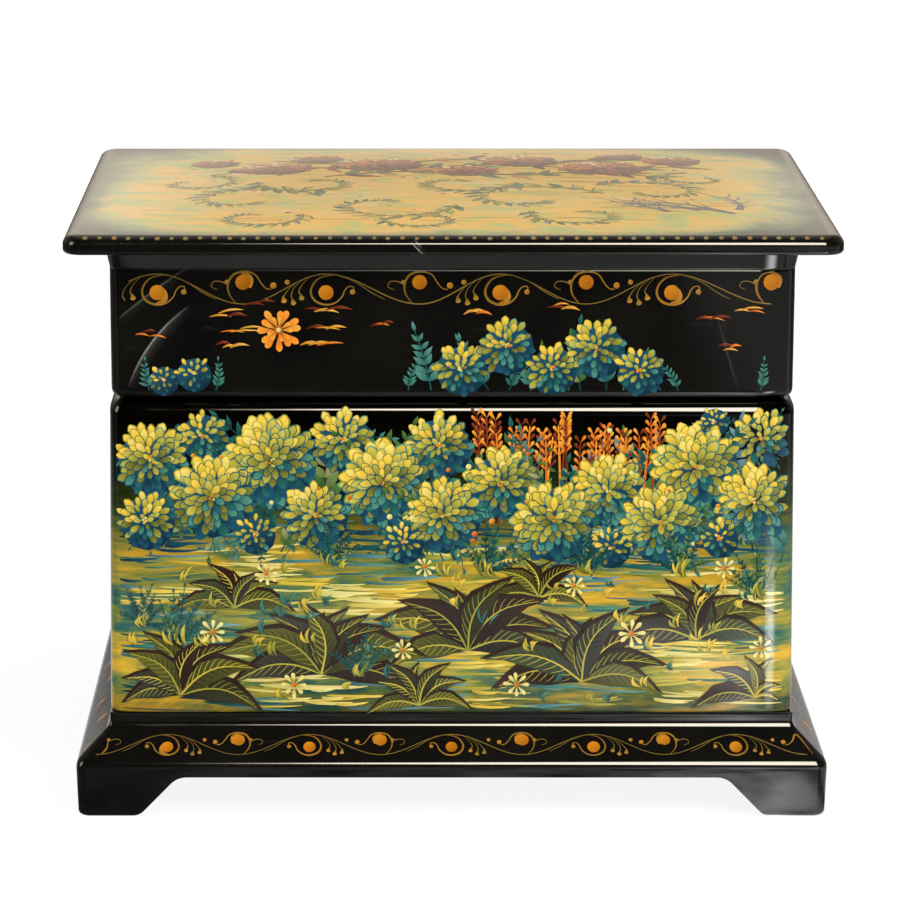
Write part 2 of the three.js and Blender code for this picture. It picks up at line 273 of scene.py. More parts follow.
def varnished(material, add, place, colour, duller=None):
    wave = add("ShaderNodeTexNoise", {"Vector": place, "Scale": 1 / (varnish["waveSize"] * mm),
                                      "Detail": 1.5, "Roughness": 0.4})
    peel = add("ShaderNodeTexNoise",
               {"Vector": place, "Scale": 1 / (varnish["peelSize"] * mm), "Detail": 1.0})
    slow = add("ShaderNodeBump",
               {"Height": wave, "Strength": 1.0, "Distance": varnish["waveHeight"] * mm})
    fine = add("ShaderNodeBump", {"Height": peel, "Strength": 1.0,
                                  "Distance": varnish["peelHeight"] * mm, "Normal": slow})
    wiped = add("ShaderNodeMapping", {"Vector": place, "Rotation": (0.3, 0.5, 0.4),
                                      "Scale": varnish["hairlineStretch"]})
    spacing = varnish["hairlineSpacing"] * varnish["hairlineStretch"][1] * mm
    hairs = add("ShaderNodeTexNoise",
                {"Vector": wiped, "Scale": 1 / spacing, "Detail": 4.0, "Roughness": 0.75})
    hairline = add("ShaderNodeMapRange", [hairs, 0.64, 0.7])
    cloud = add("ShaderNodeMapRange", [wave, 0.3, 0.7, varnish["smoothest"], varnish["dullest"]])
    rough = add("ShaderNodeMath", [hairline, varnish["hairlineRough"], cloud],
                operation="MULTIPLY_ADD")
    if duller:
        rough = add("ShaderNodeMath", [rough, duller], operation="ADD")
    glow = add("ShaderNodeMath", [hairline, varnish["hairlineGlow"]], operation="MULTIPLY")
    hairColour = linearColour(varnish["hairlineColour"])
    marked = add("ShaderNodeMix", {0: glow, 6: colour, 7: hairColour}, data_type="RGBA")
    surface = add("ShaderNodeBsdfPrincipled", {"Base Color": marked, "Roughness": rough,
                                               "IOR": varnish["ior"], "Normal": fine})
    add("ShaderNodeOutputMaterial", {"Surface": surface})
    return material


crackAndSheenLook = {
    "profile": [(0.0, "#000000"), (0.5, "#3a3a3a"), (0.8, "#6c6c6c"), (0.87, "#ffffff"),
                (1.0, "#000000")],  # across it: a painted haze on its hollow side, then the break as a painted bright reflection
    "haze": 6.7,  # half widths that the painted haze reaches
    # the colour of the painted haze and bright reflection
    "colour": "#b7b3ad",
    "onlyBefore": -44.4,  # mm along Y, so that creases mark the front alone
    "grain": 0.5,  # mm
}


def paintCrackAndSheen(add, place, creases, colour):
    # breaks in the varnish of the front, as arcs that bulge to the right of their way, drawn as a
    # painted haze and a painted bright reflection; each has its start, end, sag and half width in
    # mm and its strength
    flat = add("ShaderNodeVectorMath", [place, (1, 0, 1)], operation="MULTIPLY")
    total = 0.0
    for start, end, sag, width, strength in creases:
        start, end = (Vector((x, 0, z)) * mm for x, z in (start, end))
        run = end - start
        radius = run.length_squared / (8 * sag * mm) + sag * mm / 2
        inward = Vector((-run.z, 0, run.x)).normalized()
        centre = (start + end) / 2 + inward * (radius - sag * mm)
        away = add("ShaderNodeVectorMath", [flat, start], operation="SUBTRACT")
        share = add("ShaderNodeVectorMath", [away, run / run.length_squared],
                    operation="DOT_PRODUCT")
        held = add("ShaderNodeClamp", [share])
        turn = add("ShaderNodeMath", [held, math.pi], operation="MULTIPLY")
        taper = add("ShaderNodeMath", [turn], operation="SINE")
        depth = add("ShaderNodeMath", [taper, strength], operation="MULTIPLY")
        spoke = add("ShaderNodeVectorMath", [flat, centre], operation="DISTANCE")
        across = add("ShaderNodeMapRange",
                     [spoke, radius - crackAndSheenLook["haze"] * width * mm, radius + width * mm])
        profile = add("ShaderNodeValToRGB", [across], stops=crackAndSheenLook["profile"])
        mark = add("ShaderNodeMath", [profile, depth], operation="MULTIPLY")
        total = add("ShaderNodeMath", [total, mark], operation="MAXIMUM")
    parts = add("ShaderNodeSeparateXYZ", [place])
    facing = add("ShaderNodeMath", [parts.outputs[1], crackAndSheenLook["onlyBefore"] * mm],
                 operation="LESS_THAN")
    grain = add("ShaderNodeTexNoise",
                {"Vector": place, "Scale": 1 / (crackAndSheenLook["grain"] * mm), "Detail": 2.0})
    broken = add("ShaderNodeMapRange", [grain, 0.3, 0.6, 0.6])
    mask = add("ShaderNodeMath", [total, facing], operation="MULTIPLY")
    crackAndSheenMask = add("ShaderNodeMath", [mask, broken], operation="MULTIPLY")
    # the painted haze and bright reflection are mixed into the lacquer's colour here
    shown = add("ShaderNodeMix", {0: crackAndSheenMask, 6: colour, 7: linearColour(crackAndSheenLook["colour"])},
                data_type="RGBA")
    return shown, crackAndSheenMask


def makeBlackLacquer():  # soot-black lacquer, all but neutral
    material, add = newMaterial("blackLacquer")
    place = add("ShaderNodeTexCoord").outputs["Object"]
    patch = add("ShaderNodeTexNoise", {"Vector": place, "Scale": 1 / (18 * mm), "Detail": 3.0})
    tint = add("ShaderNodeValToRGB", [patch], stops=[(0.3, "#0a0908"), (0.7, "#11100d")])
    return varnished(material, add, place, tint)


rimLook = {
    "patchSize": 14,  # mm
    "creases": [((-47.5, 94.8), (-58.8, 79.7), 1.5, 0.3, 0.55),
                ((-47.6, 102.0), (-62.0, 91.0), 0.3, 0.36, 0.16),
                ((47.6, 94.2), (52.2, 78.5), 0.15, 0.3, 0.06)],
    "creaseDulls": 0.5,
}


def makeRimLacquer():  # the same lacquer; cracks on the rim's front get a painted haze and sheen
    material, add = newMaterial("blackLacquerWorn")
    place = add("ShaderNodeTexCoord").outputs["Object"]
    patch = add("ShaderNodeTexNoise",
                {"Vector": place, "Scale": 1 / (rimLook["patchSize"] * mm), "Detail": 4.0})
    tint = add("ShaderNodeValToRGB", [patch], stops=[(0.35, "#090908"), (0.75, "#12110d")])
    # cracks drawn with a painted haze and bright reflection; the same mask also dulls the varnish
    # there
    colour, crackAndSheenMask = paintCrackAndSheen(add, place, rimLook["creases"], tint)
    duller = add("ShaderNodeMath", [crackAndSheenMask, rimLook["creaseDulls"]], operation="MULTIPLY")
    return varnished(material, add, place, colour, duller)


bodyLook = {
    "foot": 18.4,
    "top": 77.3,
    "patches": [(0.3, "#103a48"), (0.4, "#2c5f55"), (0.46, "#66783c"), (0.52, "#9c9038"),
                (0.58, "#cfa22c"), (0.66, "#d8ac30"), (0.76, "#a9a85e")],
    "shade": [(0.0, "#8f8f8f"), (0.12, "#ffffff"), (0.52, "#d8d8d8"), (0.66, "#4f5f60"),
              (0.82, "#182224"), (0.93, "#060707"), (1.0, "#030303")],
    "fadeFrom": -43.6,  # where the ground starts to turn black on the sides, along Y
    "fadeTo": -38.5,
    "patchSize": 30,  # mm, along a patch
    "strokeSize": 11,  # mm, along a stroke
    "ragged": 0.25,  # how far, as a share of the height, the shade's edges wander
    "black": "#0b0a09",
}


def makeBodyPaint():  # tempera ground under varnish: soft patches dragged sideways by the brush
    material, add = newMaterial("paintedGroundUnderVarnish")
    place = add("ShaderNodeTexCoord").outputs["Object"]
    parts = add("ShaderNodeSeparateXYZ", [place])
    share = add("ShaderNodeMapRange",
                [parts.outputs[2], bodyLook["foot"] * mm, bodyLook["top"] * mm])
    stretched = add("ShaderNodeMapping",
                    {"Vector": place, "Location": (0.013, 0, 0.006), "Scale": (1, 1, 3.4)})
    drift = add("ShaderNodeTexNoise", {"Vector": stretched, "Detail": 6.0, "Roughness": 0.6,
                                       "Scale": 1 / (bodyLook["patchSize"] * mm),
                                       "Distortion": 0.7})
    brush = add("ShaderNodeMapping", {"Vector": place, "Scale": (1, 1, 9)})
    strokes = add("ShaderNodeTexNoise", {"Vector": brush, "Detail": 4.0, "Roughness": 0.6,
                                         "Scale": 1 / (bodyLook["strokeSize"] * mm)})
    both = add("ShaderNodeMix", {0: 0.3, 2: drift, 3: strokes})
    patches = add("ShaderNodeValToRGB", [both], stops=bodyLook["patches"])
    ragged = add("ShaderNodeMath", [drift, -0.5], operation="ADD")
    pushed = add("ShaderNodeMath", [ragged, bodyLook["ragged"], share],
                 operation="MULTIPLY_ADD")
    shade = add("ShaderNodeValToRGB", [pushed], stops=bodyLook["shade"])
    shaded = add("ShaderNodeMix", {0: 1.0, 6: patches, 7: shade}, data_type="RGBA",
                 blend_type="MULTIPLY")
    side = add("ShaderNodeMapRange",
               [parts.outputs[1], bodyLook["fadeFrom"] * mm, bodyLook["fadeTo"] * mm],
               interpolation_type="SMOOTHSTEP")
    colour = add("ShaderNodeMix", {0: side, 6: shaded, 7: linearColour(bodyLook["black"])},
                 data_type="RGBA")
    return varnished(material, add, place, colour)


lidLook = {
    "half": (72, 59),  # mm, of the cream field, which is a rounded oblong
    "centre": (-1, 0),
    "squareness": 4.0,  # 2 would make the field an ellipse
    "cloudSize": 24,  # mm, of what makes the field's edge wander
    "wander": 0.9,
    "fades": (0.75, 1.6),  # from the field to black, in half sizes raised to the squareness
    "swirlSize": 17,  # mm
    "field": [(0.28, "#98a86c"), (0.4, "#b9b458"), (0.5, "#deb048"), (0.6, "#e9b144"),
              (0.72, "#aabd7c")],
    "border": [(0.0, "#cfc07c"), (0.3, "#8c9468"), (0.65, "#3c4438"), (1.0, "#0b0b09")],
    "black": "#0b0b09",
    "blackBelow": 108.62,  # mm, on the plate's rounded edge
    "paintedAbove": 108.92,
    "chip": [((-7.6, 107.9), (-5.3, 105.5), 0.1, 0.13, 0.8),
             ((-7.0, 108.3), (-5.6, 106.8), 0.1, 0.1, 0.5)],
}


def makeLidPaint():  # a warm cream field that melts into the black lacquer round it
    material, add = newMaterial("creamGroundUnderVarnish")
    place = add("ShaderNodeTexCoord").outputs["Object"]
    half, centre = lidLook["half"], lidLook["centre"]
    fitted = add("ShaderNodeMapping", {
        "Vector": place, "Location": (-centre[0] / half[0], -centre[1] / half[1], 0),
        "Scale": (1 / (half[0] * mm), 1 / (half[1] * mm), 0)})
    parts = add("ShaderNodeSeparateXYZ", [fitted])
    powers = []
    for axis in (0, 1):
        length = add("ShaderNodeMath", [parts.outputs[axis]], operation="ABSOLUTE")
        powers.append(add("ShaderNodeMath", [length, lidLook["squareness"]], operation="POWER"))
    radius = add("ShaderNodeMath", powers, operation="ADD")
    cloud = add("ShaderNodeTexNoise", {"Vector": place, "Scale": 1 / (lidLook["cloudSize"] * mm),
                                       "Detail": 5.0, "Roughness": 0.6, "Distortion": 0.8})
    edge = add("ShaderNodeMath", [cloud, lidLook["wander"], radius], operation="MULTIPLY_ADD")
    turned = add("ShaderNodeMapping",
                 {"Vector": place, "Rotation": (0, 0, 0.3), "Scale": (1, 1.5, 1)})
    swirl = add("ShaderNodeTexNoise", {"Vector": turned, "Scale": 1 / (lidLook["swirlSize"] * mm),
                                       "Detail": 4.0, "Roughness": 0.55, "Distortion": 1.6})
    field = add("ShaderNodeValToRGB", [swirl], stops=lidLook["field"])
    shareOut = add("ShaderNodeMapRange", [edge, *lidLook["fades"]])
    border = add("ShaderNodeValToRGB", [shareOut], stops=lidLook["border"])
    shown = add("ShaderNodeMapRange", [shareOut, 0.02, 0.4])
    painted = add("ShaderNodeMix", {0: shown, 6: field, 7: border}, data_type="RGBA")
    height = add("ShaderNodeSeparateXYZ", [place])
    above = add("ShaderNodeMapRange",
                [height.outputs[2], lidLook["blackBelow"] * mm, lidLook["paintedAbove"] * mm],
                interpolation_type="SMOOTHSTEP")
    colour = add("ShaderNodeMix", {0: above, 6: linearColour(lidLook["black"]), 7: painted},
                 data_type="RGBA")
    chipped = paintCrackAndSheen(add, place, lidLook["chip"], colour)[0]
    return varnished(material, add, place, chipped)


def makeRedLacquer():  # cinnabar lacquer: warm red, brushed on, a little less polished
    material, add = newMaterial("cinnabarLacquer")
    place = add("ShaderNodeTexCoord").outputs["Object"]
    brush = add("ShaderNodeMapping", {"Vector": place, "Scale": (1, 1, 7)})
    strokes = add("ShaderNodeTexNoise",
                  {"Vector": brush, "Scale": 1 / (12 * mm), "Detail": 5.0, "Roughness": 0.6})
    tint = add("ShaderNodeValToRGB", [strokes],
               stops=[(0.3, "#7d150d"), (0.5, "#9c2114"), (0.72, "#b12c1a")])
    dull = add("ShaderNodeMapRange", [strokes, 0.3, 0.7, 0.04, 0.14])
    return varnished(material, add, place, tint, dull)


def makeBrass():  # drawn brass leaf and wire: fine lines along the draw, brown in random patches
    material, add = newMaterial("drawnBrass")
    place = add("ShaderNodeTexCoord").outputs["Object"]
    drawn = add("ShaderNodeMapping", {"Vector": place, "Scale": (0.08, 1, 1)})
    lines = add("ShaderNodeTexNoise",
                {"Vector": drawn, "Scale": 1 / (0.25 * mm), "Detail": 3.0, "Roughness": 0.7})
    age = add("ShaderNodeTexNoise", {"Vector": place, "Scale": 1 / (2.2 * mm), "Detail": 4.0})
    tint = add("ShaderNodeValToRGB", [age],
               stops=[(0.32, "#7a5a26"), (0.5, "#c39a4c"), (0.7, "#e0bd6c")])
    rough = add("ShaderNodeMapRange", [lines, 0.3, 0.7, 0.2, 0.4])
    bump = add("ShaderNodeBump", {"Height": lines, "Strength": 0.6, "Distance": 0.01 * mm})
    surface = add("ShaderNodeBsdfPrincipled",
                  {"Base Color": tint, "Metallic": 1.0, "Roughness": rough, "Normal": bump})
    add("ShaderNodeOutputMaterial", {"Surface": surface})
    return material


# Paint for brushwork. Each stroke's own UV says which pigment it is (across) and where a point
# lies from the stroke's start to its end (up), so a stroke is dark where the brush was set down.

pigments = [  # start of the stroke, end of the stroke
    ("#0c2223", "#14393a"),  # 0 deep teal
    ("#12383a", "#235f56"),  # 1 teal
    ("#1f4f4d", "#4c8570"),  # 2 light teal
    ("#2a5463", "#7296a0"),  # 3 blue haze
    ("#1d1f10", "#343618"),  # 4 dark olive
    ("#3f4319", "#77782c"),  # 5 olive
    ("#7a7a28", "#b5a83e"),  # 6 yellow green
    ("#b4962e", "#e4be48"),  # 7 lit yellow
    ("#b0ac5c", "#dcd38a"),  # 8 pale yellow
    ("#a06a18", "#dca03c"),  # 9 ochre gold
    ("#a8430f", "#e58a2c"),  # 10 orange
    ("#3c150c", "#84351a"),  # 11 red brown
    ("#160e09", "#2c1c12"),  # 12 brown black
    ("#5d5a5c", "#938d88"),  # 13 grey violet
    ("#cfb47a", "#eddcae"),  # 14 cream
    ("#2c4a24", "#4f7a34"),  # 15 leaf green
    ("#1b1c19", "#3d3d33"),  # 16 dark grey
    ("#0d2433", "#1d4a5c"),  # 17 deep blue
]
golds = [
    ("#2a210c", "#5c4c20"),  # 0 worn
    ("#40330f", "#7b6730"),  # 1 thin
    ("#5c4716", "#9a7b34"),  # 2 line
    ("#8a5a16", "#c08830"),  # 3 full
    ("#a4600f", "#d3851c"),  # 4 ball
    ("#7a4209", "#b96c16"),  # 5 deep ball
    ("#5d5130", "#958258"),  # 6 pale dot
]


def makeBrushPaint(name, tones, metallic):
    material, add = newMaterial(name)
    place = add("ShaderNodeUVMap", uv_map="OFBake").outputs[0]
    parts = add("ShaderNodeSeparateXYZ", [place])
    ends = []
    for end in (0, 1):
        stops = [((index + 0.5) / len(tones), tone[end]) for index, tone in enumerate(tones)]
        ends.append(add("ShaderNodeValToRGB", [parts], stops=stops))
    colour = add("ShaderNodeMix", {0: parts.outputs[1], 6: ends[0], 7: ends[1]}, data_type="RGBA")
    surface = add("ShaderNodeBsdfPrincipled", {"Base Color": colour,
                                               "Metallic": metallic, "Roughness": 0.07,
                                               "IOR": varnish["ior"]})
    add("ShaderNodeOutputMaterial", {"Surface": surface})
    return material


blackLacquer = makeBlackLacquer()
rimLacquer = makeRimLacquer()
bodyPaint = makeBodyPaint()
lidPaint = makeLidPaint()
redLacquer = makeRedLacquer()
brass = makeBrass()
flowerPaint = makeBrushPaint("temperaUnderVarnish", pigments, 0.0)
goldPaint = makeBrushPaint("bronzePowderPaint", golds, 0.15)
print("materials made")


# The case: body, lid and plinth.

case = {
    "plate": (70, 52.5), "plateBottom": 105.3, "plateEdge": 3.5, "plateCorner": 3.5,
    "plateLowerRound": 0.8, "plateUpperRound": 2.6, "plateUpperDrop": 1.75,
    "plateCrown": 1.24, "plateParts": 32,
    "lid": (62.35, 44.85), "lidBottom": 77.7, "lidRound": 1.2, "lidCavity": (58.35, 40.85),
    "coveHeight": 4.1, "coveReach": 0.78, "redWithin": 42,
    "bodyTop": 77.3, "bodyFoot": 18.4, "bodyTopHalf": (62.65, 45.15), "lean": 0.65,
    "rimRound": 2.7, "footRound": 0.5, "cavity": (58.25, 40.75),
    "wallCorner": 2.4, "innerCorner": 1.2,
}
hinge = {
    "back": 43.35, "height": 77.5, "places": (-38, 38), "length": 18, "room": 0.15,
    "knuckle": 1.5, "pinReach": 9.8, "kerf": 0.45, "leaf": 7.75,
    "nails": (-5.4, 5.4), "nailHeight": 4.7, "nailRoom": 0.5, "nailLength": 3.6,
    "groove": 50.5, "grooveDepth": 4, "grooveLength": 136,  # the first in degrees
}


def grown(half, amount):
    return (half[0] + amount, half[1] + amount)


def hingeCutters(direction):  # the V groove at the back, then kerf, pin and nails of each hinge
    back, height, depth = hinge["back"], hinge["height"], hinge["grooveDepth"]
    rise = depth * math.tan(math.radians(hinge["groove"]))
    wedge = [(back, height), (back + depth, height - rise), (back + depth, height + rise)]
    cutters = [prism(wedge, hinge["grooveLength"], (0, 1, 0), (0, 0, 1))]
    low, high = sorted((0, direction * hinge["leaf"]))
    half = hinge["kerf"]
    kerf = [(-half, low), (half, low), (half, high), (-half, high)]
    for place in hinge["places"]:
        for outline, length in ((kerf, hinge["length"] + 2 * hinge["room"]),
                                (disc(hinge["knuckle"]), 2 * hinge["pinReach"])):
            cutters.append(prism(outline, length, (0, 1, 0), (0, 0, 1), (place, back, height)))
        for offset in hinge["nails"]:
            middle = (place + offset, back, height + direction * hinge["nailHeight"])
            cutters.append(prism(disc(hinge["nailRoom"], 16), hinge["nailLength"], (0, 0, 1),
                                 (1, 0, 0), middle))
    return cutters


def paintInside(piece):  # red on what looks inwards, but not on the hinge's groove
    for face in piece.data.polygons:
        inward = any(face.normal[axis] * face.center[axis] < 0 and abs(face.normal[axis]) > 0.5
                     for axis in (0, 1))
        if inward and abs(face.center.y) < case["redWithin"] * mm:
            face.material_index = 1


def makeBodyWalls():
    def halfAt(z):
        share = (case["bodyTop"] - z) / (case["bodyTop"] - case["bodyFoot"])
        return grown(case["bodyTopHalf"], case["lean"] * share)

    levels = roundLevels(case["bodyFoot"], case["footRound"], 1)
    levels += roundLevels(case["bodyTop"], case["rimRound"], -1)
    rings = [ring(grown(halfAt(z), -inset), max(case["wallCorner"] - inset, 0.3), z, bowed=True)
             for z, inset in levels]
    for z in (case["bodyTop"], case["bodyFoot"]):
        rings.append(ring(case["cavity"], case["innerCorner"], z))
    piece = carve(loft("body_shell", rings, closed=True), hingeCutters(-1))
    paintInside(piece)
    dress(piece, "base", [bodyPaint, redLacquer], ["body_walls"])


def makeLidWalls():
    coveFoot = case["plateBottom"] - case["coveHeight"]
    levels = roundLevels(case["lidBottom"], case["lidRound"], 1)
    # a fine bead, then the cove; levels close to its ends keep it straight in shading
    levels += [(coveFoot - 0.3, 0), (coveFoot, 0), (coveFoot + 0.12, 0.08)]
    for share in (0, 0.06, 0.94, 1):
        levels.append((coveFoot + 0.3 + share * (case["coveHeight"] - 0.7),
                       -0.04 - share * (case["coveReach"] - 0.04)))
    levels.append((case["plateBottom"], -case["coveReach"] - 0.3))
    rings = [ring(grown(case["lid"], -inset), case["wallCorner"] - inset, z, bowed=True)
             for z, inset in levels]
    for z in (case["plateBottom"], case["lidBottom"]):
        rings.append(ring(case["lidCavity"], case["innerCorner"], z))
    piece = carve(loft("lid_rim", rings, closed=True), hingeCutters(1))
    paintInside(piece)
    dress(piece, "lid", [rimLacquer, redLacquer], ["lid_walls"])


def crownHeight(x, y):
    flat = grown(case["plate"], -case["plateUpperRound"])
    share = (1 - (x / flat[0]) ** 2) * (1 - (y / flat[1]) ** 2)
    return case["plateBottom"] + case["plateEdge"] + case["plateCrown"] * share


def makeLidPlate():
    bottom, top = case["plateBottom"], case["plateBottom"] + case["plateEdge"]
    levels = roundLevels(bottom, case["plateLowerRound"], 1)
    upper = roundLevels(top, case["plateUpperRound"], -1, 8, drop=case["plateUpperDrop"])
    ringInParts = partial(ring, parts=case["plateParts"])
    rings = [ringInParts(case["lidCavity"], case["innerCorner"], bottom)]
    rings += [ringInParts(grown(case["plate"], -inset), case["plateCorner"] - inset, z)
              for z, inset in levels + upper[:-1]]
    rim = rings[-1]
    shares = [0.992, 0.98] + [0.96 - 0.04 * step for step in range(24)] + [0.01]
    for share in shares:  # the crown, from its rim almost to its middle
        crown = []
        for point in rim:
            x, y = point.x / mm * share, point.y / mm * share
            crown.append(Vector((x, y, crownHeight(x, y))) * mm)
        rings.append(crown)
    piece = loft("lid_top", rings)
    inner = grown(case["lidCavity"], 0.05)
    for face in piece.data.polygons:
        inside = all(abs(face.center[axis]) < inner[axis] * mm for axis in (0, 1))
        if inside and face.normal.z < -0.9:
            face.material_index = 1
    dress(piece, "lid", [lidPaint, redLacquer], ["lid_plate"])


plinth = {
    "foot": (63.3, 45.8), "reach": 5.9, "height": 18.4, "shoulder": 10.4, "shoulderRound": 2.4,
    "neck": 16, "neckInset": 0.15, "neckRound": 2.2, "footWidth": 11.3, "footTaper": 0.3,
    "footRound": 1.1, "archHeight": 7.7, "archRun": 7.4, "archRound": 4.0,
    "footInnerRound": 4.0, "archFoot": -0.02, "archOverrun": 4, "archCut": 160,
    "ledgeReach": 3.6, "ledgeThickness": 3.8, "corner": 1.8, "slopeCorner": 0.7, "softEdge": 0.3,
}


def makePlinth():
    inner = plinth["reach"] - plinth["footWidth"]
    ledge = inner - plinth["ledgeReach"]
    shelf = plinth["height"] - plinth["ledgeThickness"]
    section = roundedOutline([
        (inner, 0, 0),
        (plinth["reach"] - plinth["footTaper"], 0, plinth["footRound"]),
        (plinth["reach"], plinth["shoulder"], plinth["shoulderRound"]),
        (-plinth["neckInset"], plinth["neck"], plinth["neckRound"]),
        (-plinth["neckInset"], plinth["height"], 0),
        (ledge, plinth["height"], 0),
        (ledge, shelf, 0),
        (inner, shelf, 0),
    ])
    rings = []
    for out, z in section:
        share = min(max(out / plinth["reach"], 0), 1)
        radius = plinth["slopeCorner"] + (plinth["corner"] - plinth["slopeCorner"]) * share
        rings.append(ring(grown(plinth["foot"], out), radius, z))
    piece = loft("plinth_moulding", rings, closed=True)
    cutters = []
    over, under = plinth["archOverrun"], plinth["archFoot"]
    for axis, across in enumerate(((1, 0, 0), (0, 1, 0))):
        end = plinth["foot"][axis] + plinth["reach"] - plinth["footWidth"]
        arch = roundedOutline([
            (-end - over, -over, 0), (end + over, -over, 0), (end + over, under, 0),
            (end, under, plinth["footInnerRound"]),
            (end - plinth["archRun"], plinth["archHeight"], plinth["archRound"]),
            (plinth["archRun"] - end, plinth["archHeight"], plinth["archRound"]),
            (-end, under, plinth["footInnerRound"]), (-end - over, under, 0),
        ])
        cutters.append(prism(arch, plinth["archCut"], across, (0, 0, 1)))
    carve(piece, cutters)
    soften(piece, plinth["softEdge"], 3, 38)
    nodes = ["plinth_front", "plinth_back", "plinth_left", "plinth_right"]
    dress(piece, "base", [blackLacquer], nodes)


lining = {"half": (58.05, 40.55), "thickness": 1.3, "corner": 1.0, "bottom": 18.4,
          "top": 80.3, "lipRound": 0.4, "floorGap": 0.2, "floorTop": 21.8}


def makeLining():
    levels = [(lining["bottom"], 0)] + roundLevels(lining["top"], lining["lipRound"], -1, 4, 0.1)
    rings = [ring(grown(lining["half"], -inset), lining["corner"] - inset, z)
             for z, inset in levels]
    hollow = grown(lining["half"], -lining["thickness"])
    for z in (lining["top"], lining["bottom"]):
        rings.append(ring(hollow, lining["corner"], z))
    sleeve = loft("lining_sleeve", rings, closed=True)
    dress(sleeve, "base", [redLacquer], ["inner_sleeve"])
    half = grown(hollow, -lining["floorGap"])
    corner = lining["corner"] - lining["floorGap"]
    levels = [(lining["bottom"], 0), (lining["floorTop"] - 0.3, 0), (lining["floorTop"], 0.3)]
    rings = [ring(grown(half, -inset), corner - inset, z) for z, inset in levels]
    board = loft("lining_floor", rings)
    for face in board.data.polygons:
        if face.normal.z < -0.5:
            face.material_index = 1
    dress(board, "base", [redLacquer, blackLacquer], ["body_floor"])


brassware = {"weld": 0.002, "wornEdge": 0.05}  # mm


def makeBrassware():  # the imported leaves, pins and nails, with worn edges
    for body in ("base", "lid"):
        for node in frame["record"]["behaviour"]["bodies"][body]:
            if not node.startswith("hinge"):
                continue
            mesh = frame["nodes"][node].data.copy()
            welded = bmesh.new()
            welded.from_mesh(mesh)
            bmesh.ops.remove_doubles(welded, verts=welded.verts, dist=brassware["weld"] * mm)
            welded.to_mesh(mesh)
            welded.free()
            mesh.materials.clear()
            piece = placeMesh("brass_" + node, mesh)
            soften(piece, brassware["wornEdge"], 2, 40)
            dress(piece, body, [brass], [node])


makeBodyWalls()
makeLidWalls()
makeLidPlate()
makePlinth()
makeLining()
makeBrassware()
print("case made")


# Brushwork. Every stroke is a thin closed film of paint laid on its panel: a line that follows
# a path, or a single dab of the brush. One Geometry Nodes tree makes both from a mesh whose
# edges are the lines and whose loose points are the dabs.

brushwork = {
    "thickness": 0.004,  # mm, the film of paint
    "topWidth": 1.9,  # of a line's half width, so that its sides slope
    "dabTop": 0.95,  # of a dab's half width
    "layer": 0.0002,  # mm between one stroke and the next one over it
}


def makeDab(name, stations, bend):
    points, faces = [], []
    for along, half in stations:
        side, top = bend * along * (1 - along) * 4, half * brushwork["dabTop"]
        points += [(along, side + half, 0), (along, side + top, 1), (along, side - top, 1),
                   (along, side - half, 0)]
    for station in range(len(stations) - 1):
        for step in range(4):
            a, b = station * 4 + step, station * 4 + (step + 1) % 4
            faces.append((a, b, b + 4, a + 4))
    faces += [(3, 2, 1, 0), tuple(len(points) - 4 + step for step in range(4))]
    return makeStamp(name, points, faces, [along for along, y, z in points])


def makeStamp(name, points, faces, reach):
    piece = newPiece(name, points, faces)
    piece.data.attributes.new("reach", "FLOAT", "POINT").data.foreach_set("value", reach)
    bpy.context.scene.collection.objects.unlink(piece)
    return piece


leafStations = [(0, 0.02), (0.14, 0.24), (0.36, 0.48), (0.6, 0.4), (0.82, 0.17), (1, 0.01)]


def makeStamps():
    collection = bpy.data.collections.new("stamps")
    bpy.context.scene.collection.children.link(collection)
    outlines = {
        "a_drop": ([(0, 0.03), (0.2, 0.13), (0.45, 0.3), (0.7, 0.47), (0.86, 0.44), (0.96, 0.25),
                    (1, 0.05)], 0.0),
        "b_petal": ([(0, 0.14), (0.36, 0.45), (0.74, 0.46), (1, 0.12)], 0.0),
        "c_leaf": (leafStations, 0.0),
        "d_blade": ([(0, 0.2), (0.25, 0.42), (0.5, 0.5), (0.75, 0.36), (1, 0.02)], 0.9),
        "e_stroke": ([(0, 0.12), (0.06, 0.38), (0.3, 0.5), (0.6, 0.44), (0.85, 0.3), (1, 0.08)],
                     -0.5),
        "f_leafLeft": (leafStations, 0.5),
        "g_leafRight": (leafStations, -0.5),
    }
    for name, (stations, bend) in outlines.items():
        collection.objects.link(makeDab(name, stations, bend))
    sides = 12
    points = [(0.5 * math.cos(2 * math.pi * side / sides) * size,
               0.5 * math.sin(2 * math.pi * side / sides) * size, height)
              for size, height in ((1, 0), (0.93, 0.55), (0.6, 0.92)) for side in range(sides)]
    points.append((0, 0, 1))
    faces = [tuple(reversed(range(sides)))]
    for level in (0, sides):
        for side in range(sides):
            after = (side + 1) % sides
            faces.append((level + side, level + after, level + sides + after,
                          level + sides + side))
    for side in range(sides):
        faces.append((2 * sides + side, 2 * sides + (side + 1) % sides, 3 * sides))
    # a dot's painted shading, as if lit from the upper left: its start colour at the lower right,
    # its end colour at the upper left
    reach = [0.5 - 0.55 * x + 0.75 * y for x, y, z in points]
    collection.objects.link(makeStamp("h_dot", points, faces, reach))
    return collection


# the stamps' places in their collection, which follow their names
dropMark, petalMark, leafMark, bladeMark = range(4)
strokeMark, leftLeafMark, rightLeafMark, dotMark = range(4, 8)


